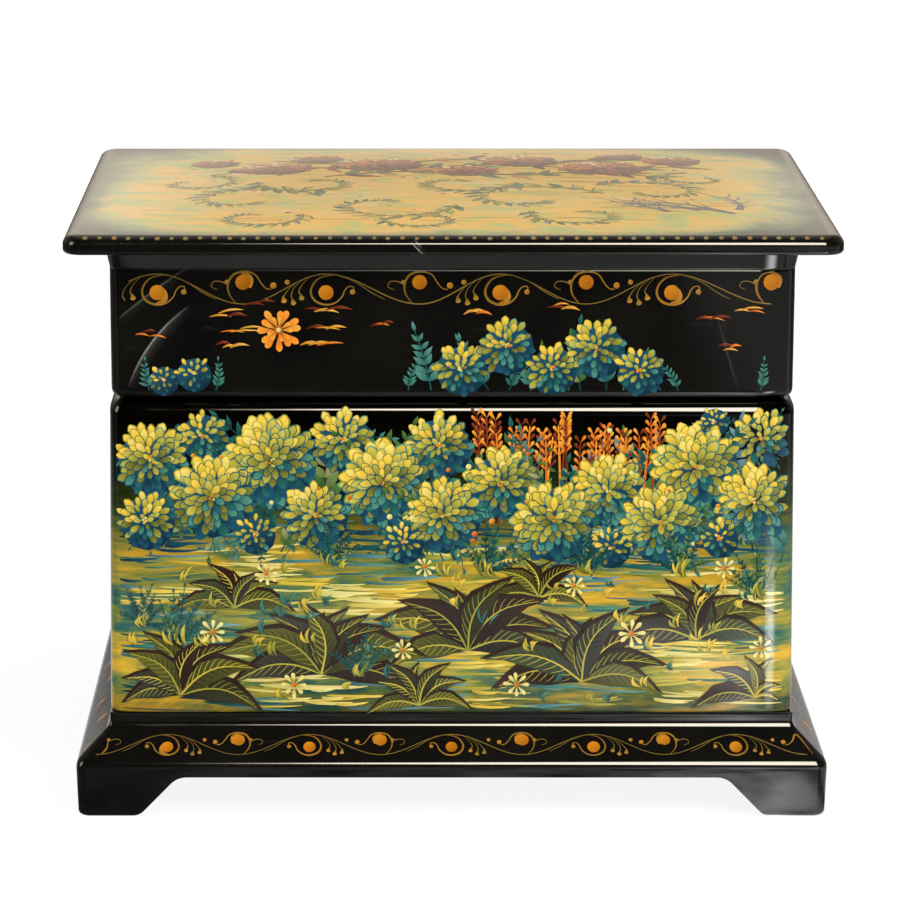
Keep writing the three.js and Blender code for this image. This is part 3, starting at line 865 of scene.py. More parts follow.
def makeBrushTree():
    tree = bpy.data.node_groups.new("brushwork", "GeometryNodeTree")
    names = [("Strokes", "Geometry"), ("Stamps", "Collection"), ("Line Top Width", "Float"),
             ("Paint", "Material")]
    sockets = {}
    for name, kind in names:
        socket = tree.interface.new_socket(name, in_out="INPUT",
                                           socket_type="NodeSocket" + kind)
        sockets[name] = socket.identifier
    tree.interface.new_socket("Brushwork", in_out="OUTPUT", socket_type="NodeSocketGeometry")
    add = partial(addNode, tree)
    given = add("NodeGroupInput")
    read = {}
    for kind, attributes in (("FLOAT", ("width", "tone", "along", "reach", "top")),
                             ("FLOAT_VECTOR", ("side", "rise", "turn", "size")),
                             ("INT", ("stamp",))):
        for name in attributes:
            read[name] = add("GeometryNodeInputNamedAttribute", {"Name": name}, data_type=kind)
    curves = add("GeometryNodeMeshToCurve", [given])
    facing = add("GeometryNodeSetCurveNormal", {0: curves, 2: read["side"]}, mode="FREE")
    flatHeight = 0.0002  # of the half width; the film's real thickness is added below
    section = add("GeometryNodeCurvePrimitiveQuadrilateral",
                  {1: flatHeight, 2: 2.0, 3: given.outputs[2], 4: 0.0}, mode="TRAPEZOID")
    position = add("ShaderNodeSeparateXYZ", [add("GeometryNodeInputPosition")])
    isTop = add("ShaderNodeMath", [position.outputs[1], 0.0], operation="GREATER_THAN")
    profile = add("GeometryNodeStoreNamedAttribute", {0: section, 2: "top", 3: isTop},
                  data_type="FLOAT", domain="POINT")
    flat = add("GeometryNodeCurveToMesh", [facing, profile, read["width"], True])
    lift = add("ShaderNodeVectorMath", {0: read["rise"], "Scale": read["top"]}, operation="SCALE")
    lines = add("GeometryNodeSetPosition", {0: flat, 3: lift})
    stamps = add("GeometryNodeCollectionInfo", [given.outputs[1], True, True])
    isDab = add("FunctionNodeCompare", {2: read["stamp"], 3: 0}, data_type="INT",
                operation="GREATER_EQUAL")
    dabs = add("GeometryNodeInstanceOnPoints",
               [given, isDab, stamps, True, read["stamp"], read["turn"], read["size"]])
    both = add("GeometryNodeJoinGeometry")
    for part in (lines, dabs):
        tree.links.new(part.outputs[0], both.inputs[0])
    real = add("GeometryNodeRealizeInstances", [both])
    far = add("ShaderNodeMath", [read["along"], read["reach"]], operation="ADD")
    place = add("ShaderNodeCombineXYZ", [read["tone"], far])
    mapped = add("GeometryNodeStoreNamedAttribute", {0: real, 2: "OFBake", 3: place},
                 data_type="FLOAT2", domain="CORNER")
    painted = add("GeometryNodeSetMaterial", {0: mapped, 2: given.outputs[3]})
    add("NodeGroupOutput", [painted])
    return tree, sockets


stampCollection = makeStamps()
brushTree, brushSockets = makeBrushTree()


def flatPanel(quarter, out, z, lean=0.0, flatTo=math.inf):
    # across, up and out of one side of the box; beyond flatTo it follows the wall's bow
    matrix = Matrix.Rotation(quarter * math.pi / 2, 4, "Z")
    matrix = matrix @ Matrix.Translation(Vector((0, -out, z)) * mm)
    matrix = matrix @ Matrix.Rotation(math.pi / 2 - lean, 4, "X")

    def at(x, y, lift):
        turn = math.asin(min(max(abs(x) - flatTo, 0) / bow["radius"], 0.5))
        sag = bow["radius"] * (1 - math.cos(turn))
        basis = matrix.to_3x3() @ Matrix.Rotation(math.copysign(turn, x), 3, "Y")
        return matrix @ (Vector((x, y, lift - sag)) * mm), basis
    return at


def crownPanel(x, y, lift):  # flat here; ontoCrown raises the finished marks
    return Vector((x, y, lift)) * mm, Matrix.Identity(3)


def ontoCrown(point):
    return Vector((0, 0, crownHeight(point.x, point.y)))


def bowedWall(half, lean=0.0, foot=0.0):
    # for flat marks on the front: the planes to split them at, where the wall's facets meet, and
    # how to bend them back; lean is in mm of half width for each mm up, foot where half is given
    flatTo = half - bowReach(case["wallCorner"])
    turn, radius = math.radians(bow["turn"]), case["wallCorner"]
    facets = [(bow["radius"] * math.sin(turn * step / bow["steps"]),
               bow["radius"] * (1 - math.cos(turn * step / bow["steps"])))
              for step in range(bow["steps"] + 1)]
    bowEnd = facets[-1]
    for step in range(1, 6):  # as far round the corner as marks go
        corner = turn + (math.pi / 2 - 2 * turn) * step / bow["cornerSteps"]
        facets.append((bowEnd[0] + radius * (math.sin(corner) - math.sin(turn)),
                       bowEnd[1] + radius * (math.cos(turn) - math.cos(corner))))
    planes = [(Vector((side * (flatTo + reach), 0, foot)) * mm, Vector((side, 0, lean)))
              for side in (-1, 1) for reach, drop in facets]

    def bend(point):
        reach = abs(point.x) - flatTo + lean * (point.z - foot)
        for (low, lowDrop), (high, highDrop) in zip(facets, facets[1:]):
            if reach < high:
                break
        share = max(reach - low, 0) / (high - low)
        return Vector((0, lowDrop + (highDrop - lowDrop) * share, 0))
    return planes, bend


blank = {"width": 0.0, "tone": 0.0, "along": 0.0, "side": (0, 0, 0), "rise": (0, 0, 0),
         "turn": (0, 0, 0), "size": (0, 0, 0), "stamp": -1}  # what a point of a mark says


class Brushwork:
    def __init__(self, tones, seed=0, panel=None, limit=math.inf):
        self.toneCount = len(tones)
        self.chance = random.Random(seed)
        self.panel = panel
        self.limit = limit  # no mark reaches farther than this from the panel's middle
        self.points, self.edges = [], []
        self.values = {name: [] for name in blank}
        self.heights = {}  # how high the last mark lies, by panel and square millimetre

    def layOver(self, path, reach):  # a mark lies on all that is painted there already
        cells = set()
        for (x0, y0), (x1, y1) in zip(path, path[1:]):
            count = math.ceil(math.hypot(x1 - x0, y1 - y0)) + 1
            for step in range(count + 1):
                x = x0 + (x1 - x0) * step / count
                y = y0 + (y1 - y0) * step / count
                for column in range(math.floor(x - reach), math.floor(x + reach) + 1):
                    for row in range(math.floor(y - reach), math.floor(y + reach) + 1):
                        cells.add((self.panel, column, row))
        lift = max(self.heights.get(cell, 0.0) for cell in cells) + brushwork["layer"]
        self.heights.update(dict.fromkeys(cells, lift))
        return lift

    def addPoint(self, place, **values):
        self.points.append(place)
        for name in self.values:
            self.values[name].append(values.get(name, blank[name]))

    def dab(self, x, y, angle, length, width, tone, stamp, crown=brushwork["thickness"]):
        end = (x + length * math.cos(angle), y + length * math.sin(angle))
        if max(abs(x), abs(end[0])) > self.limit:
            return
        if stamp == dotMark:
            lift = self.layOver([(x, y), (x, y)], width / 2)
        else:
            straight = stamp in (dropMark, petalMark, leafMark)
            lift = self.layOver([(x, y), end], width * (0.55 if straight else 1.0))
        place, basis = self.panel(x, y, lift)
        turn = (basis @ Matrix.Rotation(angle, 3, "Z")).to_euler()
        self.addPoint(place, turn=tuple(turn), size=(length * mm, width * mm, crown * mm),
                      tone=(tone + 0.5) / self.toneCount, stamp=stamp)

    def dot(self, x, y, size, tone, crown=brushwork["thickness"]):
        self.dab(x, y, 0.0, size, size, tone, dotMark, crown)

    def line(self, path, widths, tone, fade=(0.1, 0.9), steps=6):
        path = smoothPath([point for point in path if abs(point[0]) < self.limit], steps)
        if len(path) < 2:
            return
        lift = self.layOver(path, max(widths))
        start = len(self.points)
        for index, (x, y) in enumerate(path):
            share = index / (len(path) - 1)
            place, basis = self.panel(x, y, lift)
            before = path[max(index - 1, 0)]
            after = path[min(index + 1, len(path) - 1)]
            tangent = basis @ Vector((after[0] - before[0], after[1] - before[1], 0))
            side = basis.col[2].cross(tangent.normalized())
            self.addPoint(place, width=spread(widths, share) * mm, side=tuple(side),
                          rise=tuple(basis.col[2] * (brushwork["thickness"] * mm)),
                          tone=(tone + 0.5) / self.toneCount, along=spread(fade, share))
            if index:
                self.edges.append((start + index - 1, start + index))

    def finish(self, name, body, slot, paint, bend=None, planes=(), sharp=1.0):
        piece = newPiece(name, self.points, edges=self.edges)
        for key, values in self.values.items():
            kind = "INT" if isinstance(values[0], int) else "FLOAT"
            if isinstance(values[0], tuple):
                kind = "FLOAT_VECTOR"
                values = [part for value in values for part in value]
            attribute = piece.data.attributes.new(key, kind, "POINT")
            attribute.data.foreach_set("vector" if kind == "FLOAT_VECTOR" else "value", values)
        modifier = piece.modifiers.new("brushwork", "NODES")
        modifier.node_group = brushTree
        for socket, value in (("Stamps", stampCollection), ("Paint", paint),
                              ("Line Top Width", brushwork["topWidth"])):
            modifier[brushSockets[socket]] = value
        settle(piece)
        if planes:
            splitAt(piece.data, planes)
        if bend:
            for vertex in piece.data.vertices:
                vertex.co += bend(vertex.co / mm) * mm
        dress(piece, body, [], sharp=sharp)
        piece.data.calc_loop_triangles()
        print(name, len(piece.data.loop_triangles), "triangles")
        self.points, self.edges = [], []  # the next piece starts empty, over what lies here
        for values in self.values.values():
            values.clear()


def splitAt(mesh, planes):  # only what lies beyond the planes nearest to the middle
    split = bmesh.new()
    split.from_mesh(mesh)
    nearest = min(abs(place.x) for place, normal in planes) - 1 * mm
    geometry = [vertex for vertex in split.verts if abs(vertex.co.x) > nearest]
    geometry += [item for part in (split.edges, split.faces) for item in part
                 if max(abs(vertex.co.x) for vertex in item.verts) > nearest]
    for place, normal in planes:
        geometry = bmesh.ops.bisect_plane(split, geom=geometry, dist=1e-8, plane_co=place,
                                          plane_no=normal)["geom"]
    split.to_mesh(mesh)
    split.free()


def spread(values, share):
    place = share * (len(values) - 1)
    index = min(int(place), len(values) - 2)
    return values[index] + (values[index + 1] - values[index]) * (place - index)


def smoothPath(path, steps=6):
    if len(path) <= 2:
        return path
    ends = [path[0]] + list(path) + [path[-1]]
    points = []
    for index in range(len(path) - 1):
        a, b, c, d = (Vector(point) for point in ends[index:index + 4])
        for step in range(steps):
            t = step / steps
            point = (2 * b + (c - a) * t + (2 * a - 5 * b + 4 * c - d) * t ** 2
                     + (3 * b - a - 3 * c + d) * t ** 3) / 2
            points.append(tuple(point))
    return points + [tuple(path[-1])]


# Gold scroll borders: a stem that waves between two rows of balls, with a volute round each
# ball, drop-ended tendrils on the stem's rising side and a hook on its falling side.

scroll = {
    "stem": 0.11, "volute": 0.15, "tendril": 0.09, "ball": 2.9, "smallBall": 1.15,
    "crest": 2.7, "trough": -2.8, "highBall": 1.2, "lowBall": -0.7,
    "ballHeight": 0.03, "smallBallHeight": 0.02, "dropHeight": 0.015, "commaShare": 0.6,
    "lowVolute": [(1.3, 2.55), (-0.9, 2.1), (-2.2, 1.0), (-2.75, -0.6), (-2.1, -2.1),
                  (-0.4, -2.9), (1.4, -2.7), (2.8, -1.6), (3.4, -0.3), (4.1, 0.4), (4.9, 0.35),
                  (5.0, -0.4)],
    "highVolute": [(-1.3, -2.65), (-2.5, -1.0), (-2.7, 0.9), (-1.7, 2.6), (0.3, 3.15),
                   (2.2, 2.6), (3.3, 1.0), (4.2, 0.05), (5.1, -0.1)],
    "comma": [(-0.2, -2.85), (0.9, -2.4), (1.5, -1.4), (1.2, -0.2)],
    "tendrils": [
        [(-4.6, 1.6), (-6.4, 0.3), (-7.5, -1.1), (-7.6, -1.8)],
        [(-3.8, 1.9), (-5.6, 0.4), (-6.3, -1.2), (-5.9, -2.2)],
        [(-2.9, 2.2), (-4.2, 0.9), (-4.9, -0.5), (-4.4, -1.3)],
    ],
    "second": [(2.2, 2.4), (5.2, 1.3), (8.4, -0.8), (10.6, -1.9)],
    "hook": [(-4.6, -0.2), (-5.7, 0.4), (-5.3, 1.3), (-4.1, 1.35), (-3.0, 0.9)],
}


def scrollBorder(gold, panel, balls, scale, flip, seed, limit, mitre=0.0):
    gold.panel, chance = panel, random.Random(seed)

    def put(path, x):
        return [(x + flip * px * scale, py * scale) for px, py in path]

    def within(x, y, room=0.0):
        return abs(x) + room < limit - mitre * y

    def line(path, width, parts, *rest):
        path = [point for point in path if within(*point)]
        if len(path) > 2:
            gold.line(path, [width * part for part in parts], *rest)

    def dot(place, x, size, tone):
        place = put([place], x)[0]
        if within(*place, scroll["smallBall"] * size * scale / 2):
            gold.dot(*place, scroll["smallBall"] * size * scale, tone, scroll["smallBallHeight"])

    def tendril(path, x):
        line(put(path, x), thin, (0.5, 0.8, 1.2), 1.2 + chance.random() * 0.6)
        endX, endY = put(path[-1:], x)[0]
        if within(endX, endY, 0.6):  # a drop hangs from its end
            gold.dab(endX - flip * 0.25, endY + 0.55 * scale, -1.57 + flip * 0.25, 1.4 * scale,
                     1.05 * scale, 2.0 + chance.random(), dropMark, scroll["dropHeight"])

    thick, thin = scroll["stem"] * scale, scroll["tendril"] * scale
    stem = [(x, scroll["trough" if high else "crest"] * scale) for x, high in balls]
    edges = [(2 * stem[0][0] - stem[1][0], stem[1][1])] + stem
    edges.append((2 * stem[-1][0] - stem[-2][0], stem[-2][1]))
    wave = []
    for (x0, y0), (x1, y1) in zip(edges, edges[1:]):
        for step in range(6):
            share = step / 6
            ease = 0.5 - 0.5 * math.cos(math.pi * share)
            wave.append((x0 + (x1 - x0) * share, y0 + (y1 - y0) * ease))
    line(wave, thick, (1.0, 0.8, 1.1, 0.7, 1.0), 1.3, (0.5, 0.9))
    for x, high in balls:
        path = scroll["highVolute" if high else "lowVolute"]
        line(put(path, x), scroll["volute"] * scale * chance.uniform(0.85, 1.15),
             (0.5, 1.2, 1.5, 0.9, 0.6, 0.5), 2.0 + chance.random() * 0.8, (0.1, 0.8))
        if high:
            line(put(scroll["hook"], x), thin, (1, 1), 1.6)
            dot((-2.9, 1.2), x, 0.75, 2.4)
            dot((5.5, 0.6), x, 1, 3.2)
            dot((8.0, 1.2), x, 0.8, 3.0)
        else:
            for path in scroll["tendrils"]:
                tendril(path, x)
            line(put(scroll["second"], x), thick, (0.8, 0.9, 0.4), 1.1)
            dot((4.8, -0.6), x, 0.85, 2.6)
        if chance.random() < scroll["commaShare"]:
            hand = -1 if high else 1
            comma = [(px, py * hand) for px, py in scroll["comma"]]
            line(put(comma, x), scale, (0.3, 0.5, 0.25), 3.0)
        if within(x, 0, 1.2):
            gold.dot(x, scroll["highBall" if high else "lowBall"] * scale,
                     scroll["ball"] * scale * chance.uniform(0.9, 1.06),
                     4 + chance.uniform(-0.3, 0.7), scroll["ballHeight"])


borders = {
    # each ball on the front of the rim: its place along it, high or low
    "rimBalls": [(-53.4, 0), (-37.9, 1), (-22.9, 0), (-6.0, 1), (8.6, 0), (24.1, 1), (39.6, 0),
                 (57.6, 1)],
    "rimHeight": 97.9, "rimMargin": 3.6, "rimLimit": 2.6, "rimCounts": (8, 6),
    # the plinth's slope, seen from its foot: how far out, up, and how steep
    "slopeOut": 2.9, "slopeHeight": 13.2, "slope": (5.6, 6.05), "slopeReach": 2.2,
    "slopeCounts": (11, 8), "slopeScale": 0.78, "mitre": 0.73,
}


def layScrolls():
    lidGold, baseGold = Brushwork(golds), Brushwork(golds)
    for quarter in range(4):
        side = quarter % 2
        flatTo = case["lid"][side] - bowReach(case["wallCorner"])
        panel = flatPanel(quarter, case["lid"][1 - side], borders["rimHeight"], 0, flatTo)
        half, count = case["lid"][side] - borders["rimMargin"], borders["rimCounts"][side]
        pitch = 2 * half / count
        balls = [(-half + pitch * (index + 0.5), index % 2) for index in range(count)]
        scrollBorder(lidGold, panel, balls if quarter else borders["rimBalls"], 1.0, 1,
                     7 + quarter, case["lid"][side] - borders["rimLimit"])
    run, rise = borders["slope"]
    for quarter in range(4):
        side = quarter % 2
        panel = flatPanel(quarter, plinth["foot"][1 - side] + borders["slopeOut"],
                          borders["slopeHeight"], math.atan2(rise, run))
        reach, count = plinth["foot"][side] + borders["slopeReach"], borders["slopeCounts"][side]
        pitch = 2 * reach / (count - 1)
        balls = [(-reach + pitch * index, (index + 1) % 2) for index in range(count)]
        scrollBorder(baseGold, panel, balls, borders["slopeScale"], -1, 17 + quarter, reach,
                     borders["mitre"])
    return lidGold, baseGold


plateDots = {"turn": 42, "margin": 4.2, "pitch": 2.6, "height": 0.03, "seed": 5}


def layPlateDots(gold):  # one row on the plate's upper rounding, all the way round
    turn = math.radians(plateDots["turn"])
    inset = case["plateUpperRound"] * (1 - math.sin(turn))
    drop = case["plateUpperDrop"] * (1 - math.cos(turn))
    lean = math.atan2(math.cos(turn) / case["plateUpperDrop"],
                      math.sin(turn) / case["plateUpperRound"])
    height = case["plateBottom"] + case["plateEdge"] - drop
    chance = random.Random(plateDots["seed"])
    for quarter in range(4):
        side = quarter % 2
        gold.panel = flatPanel(quarter, case["plate"][1 - side] - inset, height, lean)
        half = case["plate"][side] - plateDots["margin"]
        count = round(2 * half / plateDots["pitch"])
        for index in range(count + 1):
            x = -half + 2 * half * index / count + chance.uniform(-0.12, 0.12)
            gold.dot(x, chance.uniform(-0.1, 0.1), chance.uniform(0.75, 1.0),
                     chance.uniform(5.7, 6.2), plateDots["height"])


lidGold, baseGold = layScrolls()
layPlateDots(lidGold)
lidGold.finish("gold_scroll_lid", "lid", "gold_paint", goldPaint, sharp=30)
baseGold.finish("gold_scroll_plinth", "base", "gold_paint", goldPaint, sharp=30)
print("gold borders made")


# The painted panels: an all-over flower garden in tempera. Each flower, leaf and blade is a few
# dabs, set down from the back of the picture to the front.

def pick(tones, share):
    return tones[min(max(int(share * len(tones)), 0), len(tones) - 1)]


bloomTones = (17.0, 1.0, 2.0, 5.0, 5.4, 5.8, 6.2, 6.6, 7.0, 7.4)
russetTones = (11.2, 11.0, 11.5, 10.8, 10.5, 10.2, 9.7, 9.3, 14.0)
goldenTurn = 2.39996  # radians; petals that follow each other at this turn fill a disc evenly


def blossom(art, x, y, radius, tones=bloomTones, density=2.0):
    chance = art.chance
    art.dot(x + radius * 0.06, y - radius * 0.12, radius * 2.1, tones[0])
    count = max(18, round(density * radius * radius))
    for index in reversed(range(count)):
        share = math.sqrt(index / count)
        turn = goldenTurn * index + chance.uniform(-0.15, 0.15)
        dx, dy = math.cos(turn), math.sin(turn)
        length = radius * (0.24 + 0.17 * share) * chance.uniform(0.85, 1.2)
        width = length * chance.uniform(0.52, 0.68)
        light = 0.5 + share * (-0.2 * dx + 0.46 * dy) + chance.uniform(-0.2, 0.22)
        start = max(share * radius - length * 0.45, 0)
        px, py = x + start * dx, y + start * dy
        turn += chance.uniform(-0.25, 0.25)
        art.dab(px, py, turn, length * 1.08, width * 1.3, pick(tones, light - 0.42), petalMark)
        art.dab(px, py, turn, length, width, pick(tones, light), petalMark)
    for _ in range(6):
        turn, away = chance.uniform(0, 2 * math.pi), radius * 0.13 * chance.random()
        art.dot(x + away * math.cos(turn), y + away * math.sin(turn), 0.45,
                chance.choice((9.2, 8.0, 10.0)))


def broadLeaf(art, x, y, angle, length, tones, veinTone, hand):
    width = length * art.chance.uniform(0.3, 0.38)
    mark = leftLeafMark if hand > 0 else rightLeafMark
    tone = art.chance.choice(tones)
    art.dab(x, y, angle, length * 1.05, width * 1.14, 12.0, mark)
    art.dab(x, y, angle, length, width, tone, mark)

    def at(share, across=0.0):
        px = share * length
        py = (hand * 2 * share * (1 - share) + across) * width
        return (x + px * math.cos(angle) - py * math.sin(angle),
                y + px * math.sin(angle) + py * math.cos(angle))

    def halfAt(share):
        for (low, lowHalf), (high, highHalf) in zip(leafStations, leafStations[1:]):
            if share <= high:
                return lowHalf + (highHalf - lowHalf) * (share - low) / (high - low)

    for step in range(9):  # fine hatching gives the upper half its light
        share = 0.1 + 0.085 * step
        tip = min(share + 0.14, 0.97)
        for side, shade in ((1, veinTone), (-1, 12.0)):
            reach = 0.86 * halfAt(tip) * side
            art.line([at(share), at((share + tip) / 2, reach * 0.6), at(tip, reach)],
                     [0.1, 0.07, 0.03], shade, (0.3, 0.9), steps=2)
    art.line([at(0.0), at(0.3), at(0.6), at(0.95)], [0.2, 0.15, 0.1, 0.03], veinTone + 0.4,
             (0.4, 1.0))


def leafSpray(art, x, y, angle, length, pairs, tone, leafTone, fullness=0.3):
    chance = art.chance
    bend = chance.uniform(-0.35, 0.35)
    path = []
    for share in (0, 0.25, 0.5, 0.75, 1):
        turn = angle + bend * share
        path.append((x + length * share * math.cos(turn), y + length * share * math.sin(turn)))
    art.line(path, [0.16, 0.12, 0.05], tone, (0.0, 0.7))
    for index in range(pairs):
        share = 0.16 + 0.8 * index / pairs
        px, py = (spread([point[axis] for point in path], share) for axis in (0, 1))
        size = length * fullness * (1.1 - 0.62 * share)
        for hand in (-1, 1):
            turn = angle + bend * share + hand * chance.uniform(0.55, 0.95)
            shade = leafTone + chance.uniform(-0.3, 0.3)
            art.dab(px, py, turn, size * chance.uniform(0.85, 1.15), size * 0.42, shade, leafMark)
    art.dab(*path[-1], angle + bend, length * fullness * 0.6, length * fullness * 0.24,
            leafTone + 0.3, leafMark)


def bladeTuft(art, x, y, height, count, tones, lean=0.0):
    chance = art.chance
    for _ in range(count):
        turn = math.pi / 2 + lean + chance.uniform(-0.6, 0.6)
        art.dab(x + chance.uniform(-0.35, 0.35) * height, y, turn,
                height * chance.uniform(0.6, 1.1), chance.uniform(0.35, 0.7),
                chance.uniform(*tones), bladeMark)


def daisy(art, x, y, radius, petals, tones, heart):
    chance = art.chance
    for index in range(petals):
        turn = 2 * math.pi * index / petals + chance.uniform(-0.12, 0.12)
        art.dab(x + 0.16 * radius * math.cos(turn), y + 0.16 * radius * math.sin(turn), turn,
                radius * chance.uniform(0.8, 1.05), radius * 0.36, chance.uniform(*tones),
                dropMark)
    art.dot(x, y, radius * 0.42, heart)


def groundStrokes(art, count, across, up, toneAt, lengths, widths):
    chance = art.chance
    for _ in range(count):
        x, y = chance.uniform(*across), chance.uniform(*up)
        tone = toneAt(x, y)
        if tone is None:
            continue
        length = chance.uniform(*lengths)
        x = min(max(x - length / 2, across[0]), across[1] - length)
        art.dab(x, y, chance.uniform(-0.09, 0.09), length, chance.uniform(*widths),
                tone + chance.uniform(-0.2, 0.2), strokeMark, 0.003)


# Places are in mm from the middle of the panel's foot, on the lid from its middle.
frontDesign = {
    "limit": 61.4,
    "hedge": {"count": 34, "half": 59, "height": 34},
    "seedStems": {"count": 26, "from": 4, "to": 38},
    "heads": [(-55, 48, 6.0), (-45.5, 52.4, 4.2), (-44, 41, 6.6), (-33, 47.5, 7.4),
              (-25, 37.5, 5.4), (-20, 51.5, 5.2), (-12.5, 43.5, 7.0), (-2.5, 50.6, 5.4),
              (-1.5, 37.5, 6.2), (9, 43.6, 5.8), (18.6, 36.4, 6.6), (28.5, 42, 6.0),
              (38, 36, 6.4), (44.5, 46.5, 7.2), (55.2, 40, 6.2), (56.5, 52, 4.8),
              (-56, 36.5, 4.8), (47.5, 55, 2.6), (-9, 32.5, 3.6), (29, 31.5, 3.4),
              (-36, 34, 3.4), (49, 33.2, 3.2)],  # x, y, radius
    "fans": [(-50, 3.5, 12, 9), (-24, 7.5, 15, 11), (3, 12, 14, 10), (24, 6, 14, 10),
             (45, 14, 12, 9), (-40, 20, 9, 7), (-6, 1.5, 9, 7), (56, 3, 9, 6),
             (16, 22, 8, 6)],  # x, y, length, leaves
    "ferns": [(-50, 13.5, 10), (-17, 7.5, 8), (7, 26.5, 9.5), (42, 26.5, 8.5),
              (-22, 28.5, 7), (56, 22, 9), (25, 27, 7), (-57, 17, 7)],
    "daisies": [(-44, 15.5, 2.2), (-34, 26.5, 1.9), (12, 5.4, 2.1), (22.5, 24.2, 1.8),
                (33, 15.2, 2.3), (-5, 27.8, 1.7), (50, 27.5, 1.8), (-29, 5.4, 2.3),
                (-9, 12.0, 1.8), (57, 12.4, 1.9)],
}


def meadowTone(x, y):
    patch = noise.noise(Vector((x / 24 + 3.1, y / 7, 0.7)))
    patch += 0.4 * noise.noise(Vector((x / 8, y / 2.5, 4.2))) - (0.35 if y > 31 else 0)
    patch += 0.14 * (x + 10) / 60 - 0.05
    if patch > -0.14:
        return pick((5.5, 5.9, 6.4, 6.8, 7.2, 7.6, 8.1), (patch + 0.14) / 0.5)
    return pick((17.0, 1.0, 2.0, 2.6), (patch + 0.6) / 0.46)


def paintMeadow(art):  # level strokes, a low hedge of teal sprays and russet seed stems
    chance = art.chance
    groundStrokes(art, 620, (-61, 61), (0.8, 36), meadowTone, (4, 17), (0.22, 0.75))
    hedge = frontDesign["hedge"]
    for index in range(hedge["count"]):
        x = (-hedge["half"] + 2 * hedge["half"] * index / (hedge["count"] - 1)
             + chance.uniform(-1.5, 1.5))
        y = hedge["height"] + 4 * math.sin(index * 0.7) + chance.uniform(-2, 4)
        length = min(chance.uniform(9, 17), 56 - y)
        leafSpray(art, x, y, math.pi / 2 + chance.uniform(-0.7, 0.7), length, 6,
                  chance.choice((0.4, 1.0, 1.6)), chance.choice((0.6, 1.2, 2.2, 15.0, 3)))
    stems = frontDesign["seedStems"]
    for index in range(stems["count"]):
        x = (stems["from"] + (stems["to"] - stems["from"]) * index / (stems["count"] - 1)
             + chance.uniform(-0.8, 0.8))
        top = chance.uniform(50, 56.2)
        sway = chance.uniform(-1.6, 1.6)
        art.line([(x, 36), (x + sway * 0.4, 44), (x + sway, top)], [0.3, 0.22, 0.12],
                 chance.choice((10.2, 10.8, 11.0, 11.3, 9.4)), (0.1, 0.8))
        for step in range(5):
            for hand in (-1, 1):
                art.dab(x + sway * (1 - step * 0.06), top - 1.4 * step, math.pi / 2 + hand * 0.6,
                        1.7, 0.6, chance.choice((9.4, 10.2, 11.2)), dropMark)


def paintGarland(art):  # flower heads on leafy sprays, with berries between them
    chance, heads = art.chance, list(frontDesign["heads"])
    chance.shuffle(heads)
    for x, y, radius in sorted(heads, key=lambda head: -head[1] + chance.uniform(-3, 3)):
        for _ in range(5):
            turn = chance.uniform(0, 2 * math.pi)
            reach = radius * 1.7 if abs(x) < 50 else radius * 1.2
            if y + reach * math.sin(turn) < 56:
                leafSpray(art, x, y, turn, reach, 4, 0.6, chance.choice((0.8, 1.4, 2.0, 15.0)))
        blossom(art, x, y, radius)
    for _ in range(60):
        x, y = chance.uniform(-58, 58), chance.uniform(31, 55)
        if all((x - hx) ** 2 + (y - hy) ** 2 > (hr * 0.9) ** 2 for hx, hy, hr in heads):
            art.dot(x, y, chance.uniform(0.6, 1.1), chance.choice((9.4, 10.3, 8.0)))


def paintLeaves(art):  # fans of broad dark leaves, then ferns, tufts and daisies on open ground
    chance = art.chance
    for x, y, length, count in sorted(frontDesign["fans"], key=lambda fan: -fan[1]):
        order = list(range(count))
        chance.shuffle(order)
        for index in order:
            turn = math.radians(-8 + 196 * index / (count - 1)) + chance.uniform(-0.1, 0.1)
            size = length * (0.85 + 0.35 * abs(math.cos(turn))) * chance.uniform(0.85, 1.1)
            size = min(size, (60.5 - x) / max(math.cos(turn), 0.01),
                       (60.5 + x) / max(-math.cos(turn), 0.01))
            if size > 4:
                broadLeaf(art, x, y, turn, size, (4.0, 16.0, 4.3, 15.8, 4.5, 12.0),
                          chance.choice((5.3, 5.6, 6.0)), 1 if math.cos(turn) > 0 else -1)
    for x, y, size in frontDesign["ferns"]:
        for step in range(-3, 4):
            leafSpray(art, x, y, math.pi / 2 + step * 0.3, size * (1.05 - 0.11 * abs(step)), 6,
                      0.4, chance.choice((0.5, 1.0, 15.0)), 0.2)
        bladeTuft(art, x, y - 0.5, size * 0.4, 6, (5.0, 6.8))
    for _ in range(70):
        x, y = chance.uniform(-60, 60), chance.uniform(2, 31)
        bladeTuft(art, x, y, chance.uniform(1.6, 3.2), 3,
                  chance.choice(((5.6, 7.2), (0.8, 2.2), (5.6, 7.2))), chance.uniform(-0.4, 0.4))
    for x, y, radius in frontDesign["daisies"]:
        daisy(art, x, y, radius, 8, (7.6, 8.3), 10.2)


def paintFront():
    rise = case["bodyTop"] - case["bodyFoot"]
    panel = flatPanel(0, plinth["foot"][1], case["bodyFoot"], math.atan2(case["lean"], rise))
    planes, bend = bowedWall(case["bodyTopHalf"][0] + case["lean"], case["lean"] / rise,
                             case["bodyFoot"])
    art = Brushwork(pigments, 21, panel, frontDesign["limit"])
    for paint, name in ((paintMeadow, "meadow_front"), (paintGarland, "garland_front"),
                        (paintLeaves, "leaves_front")):
        paint(art)
        art.finish(name, "base", "painted_lacquer", flowerPaint, bend, planes)


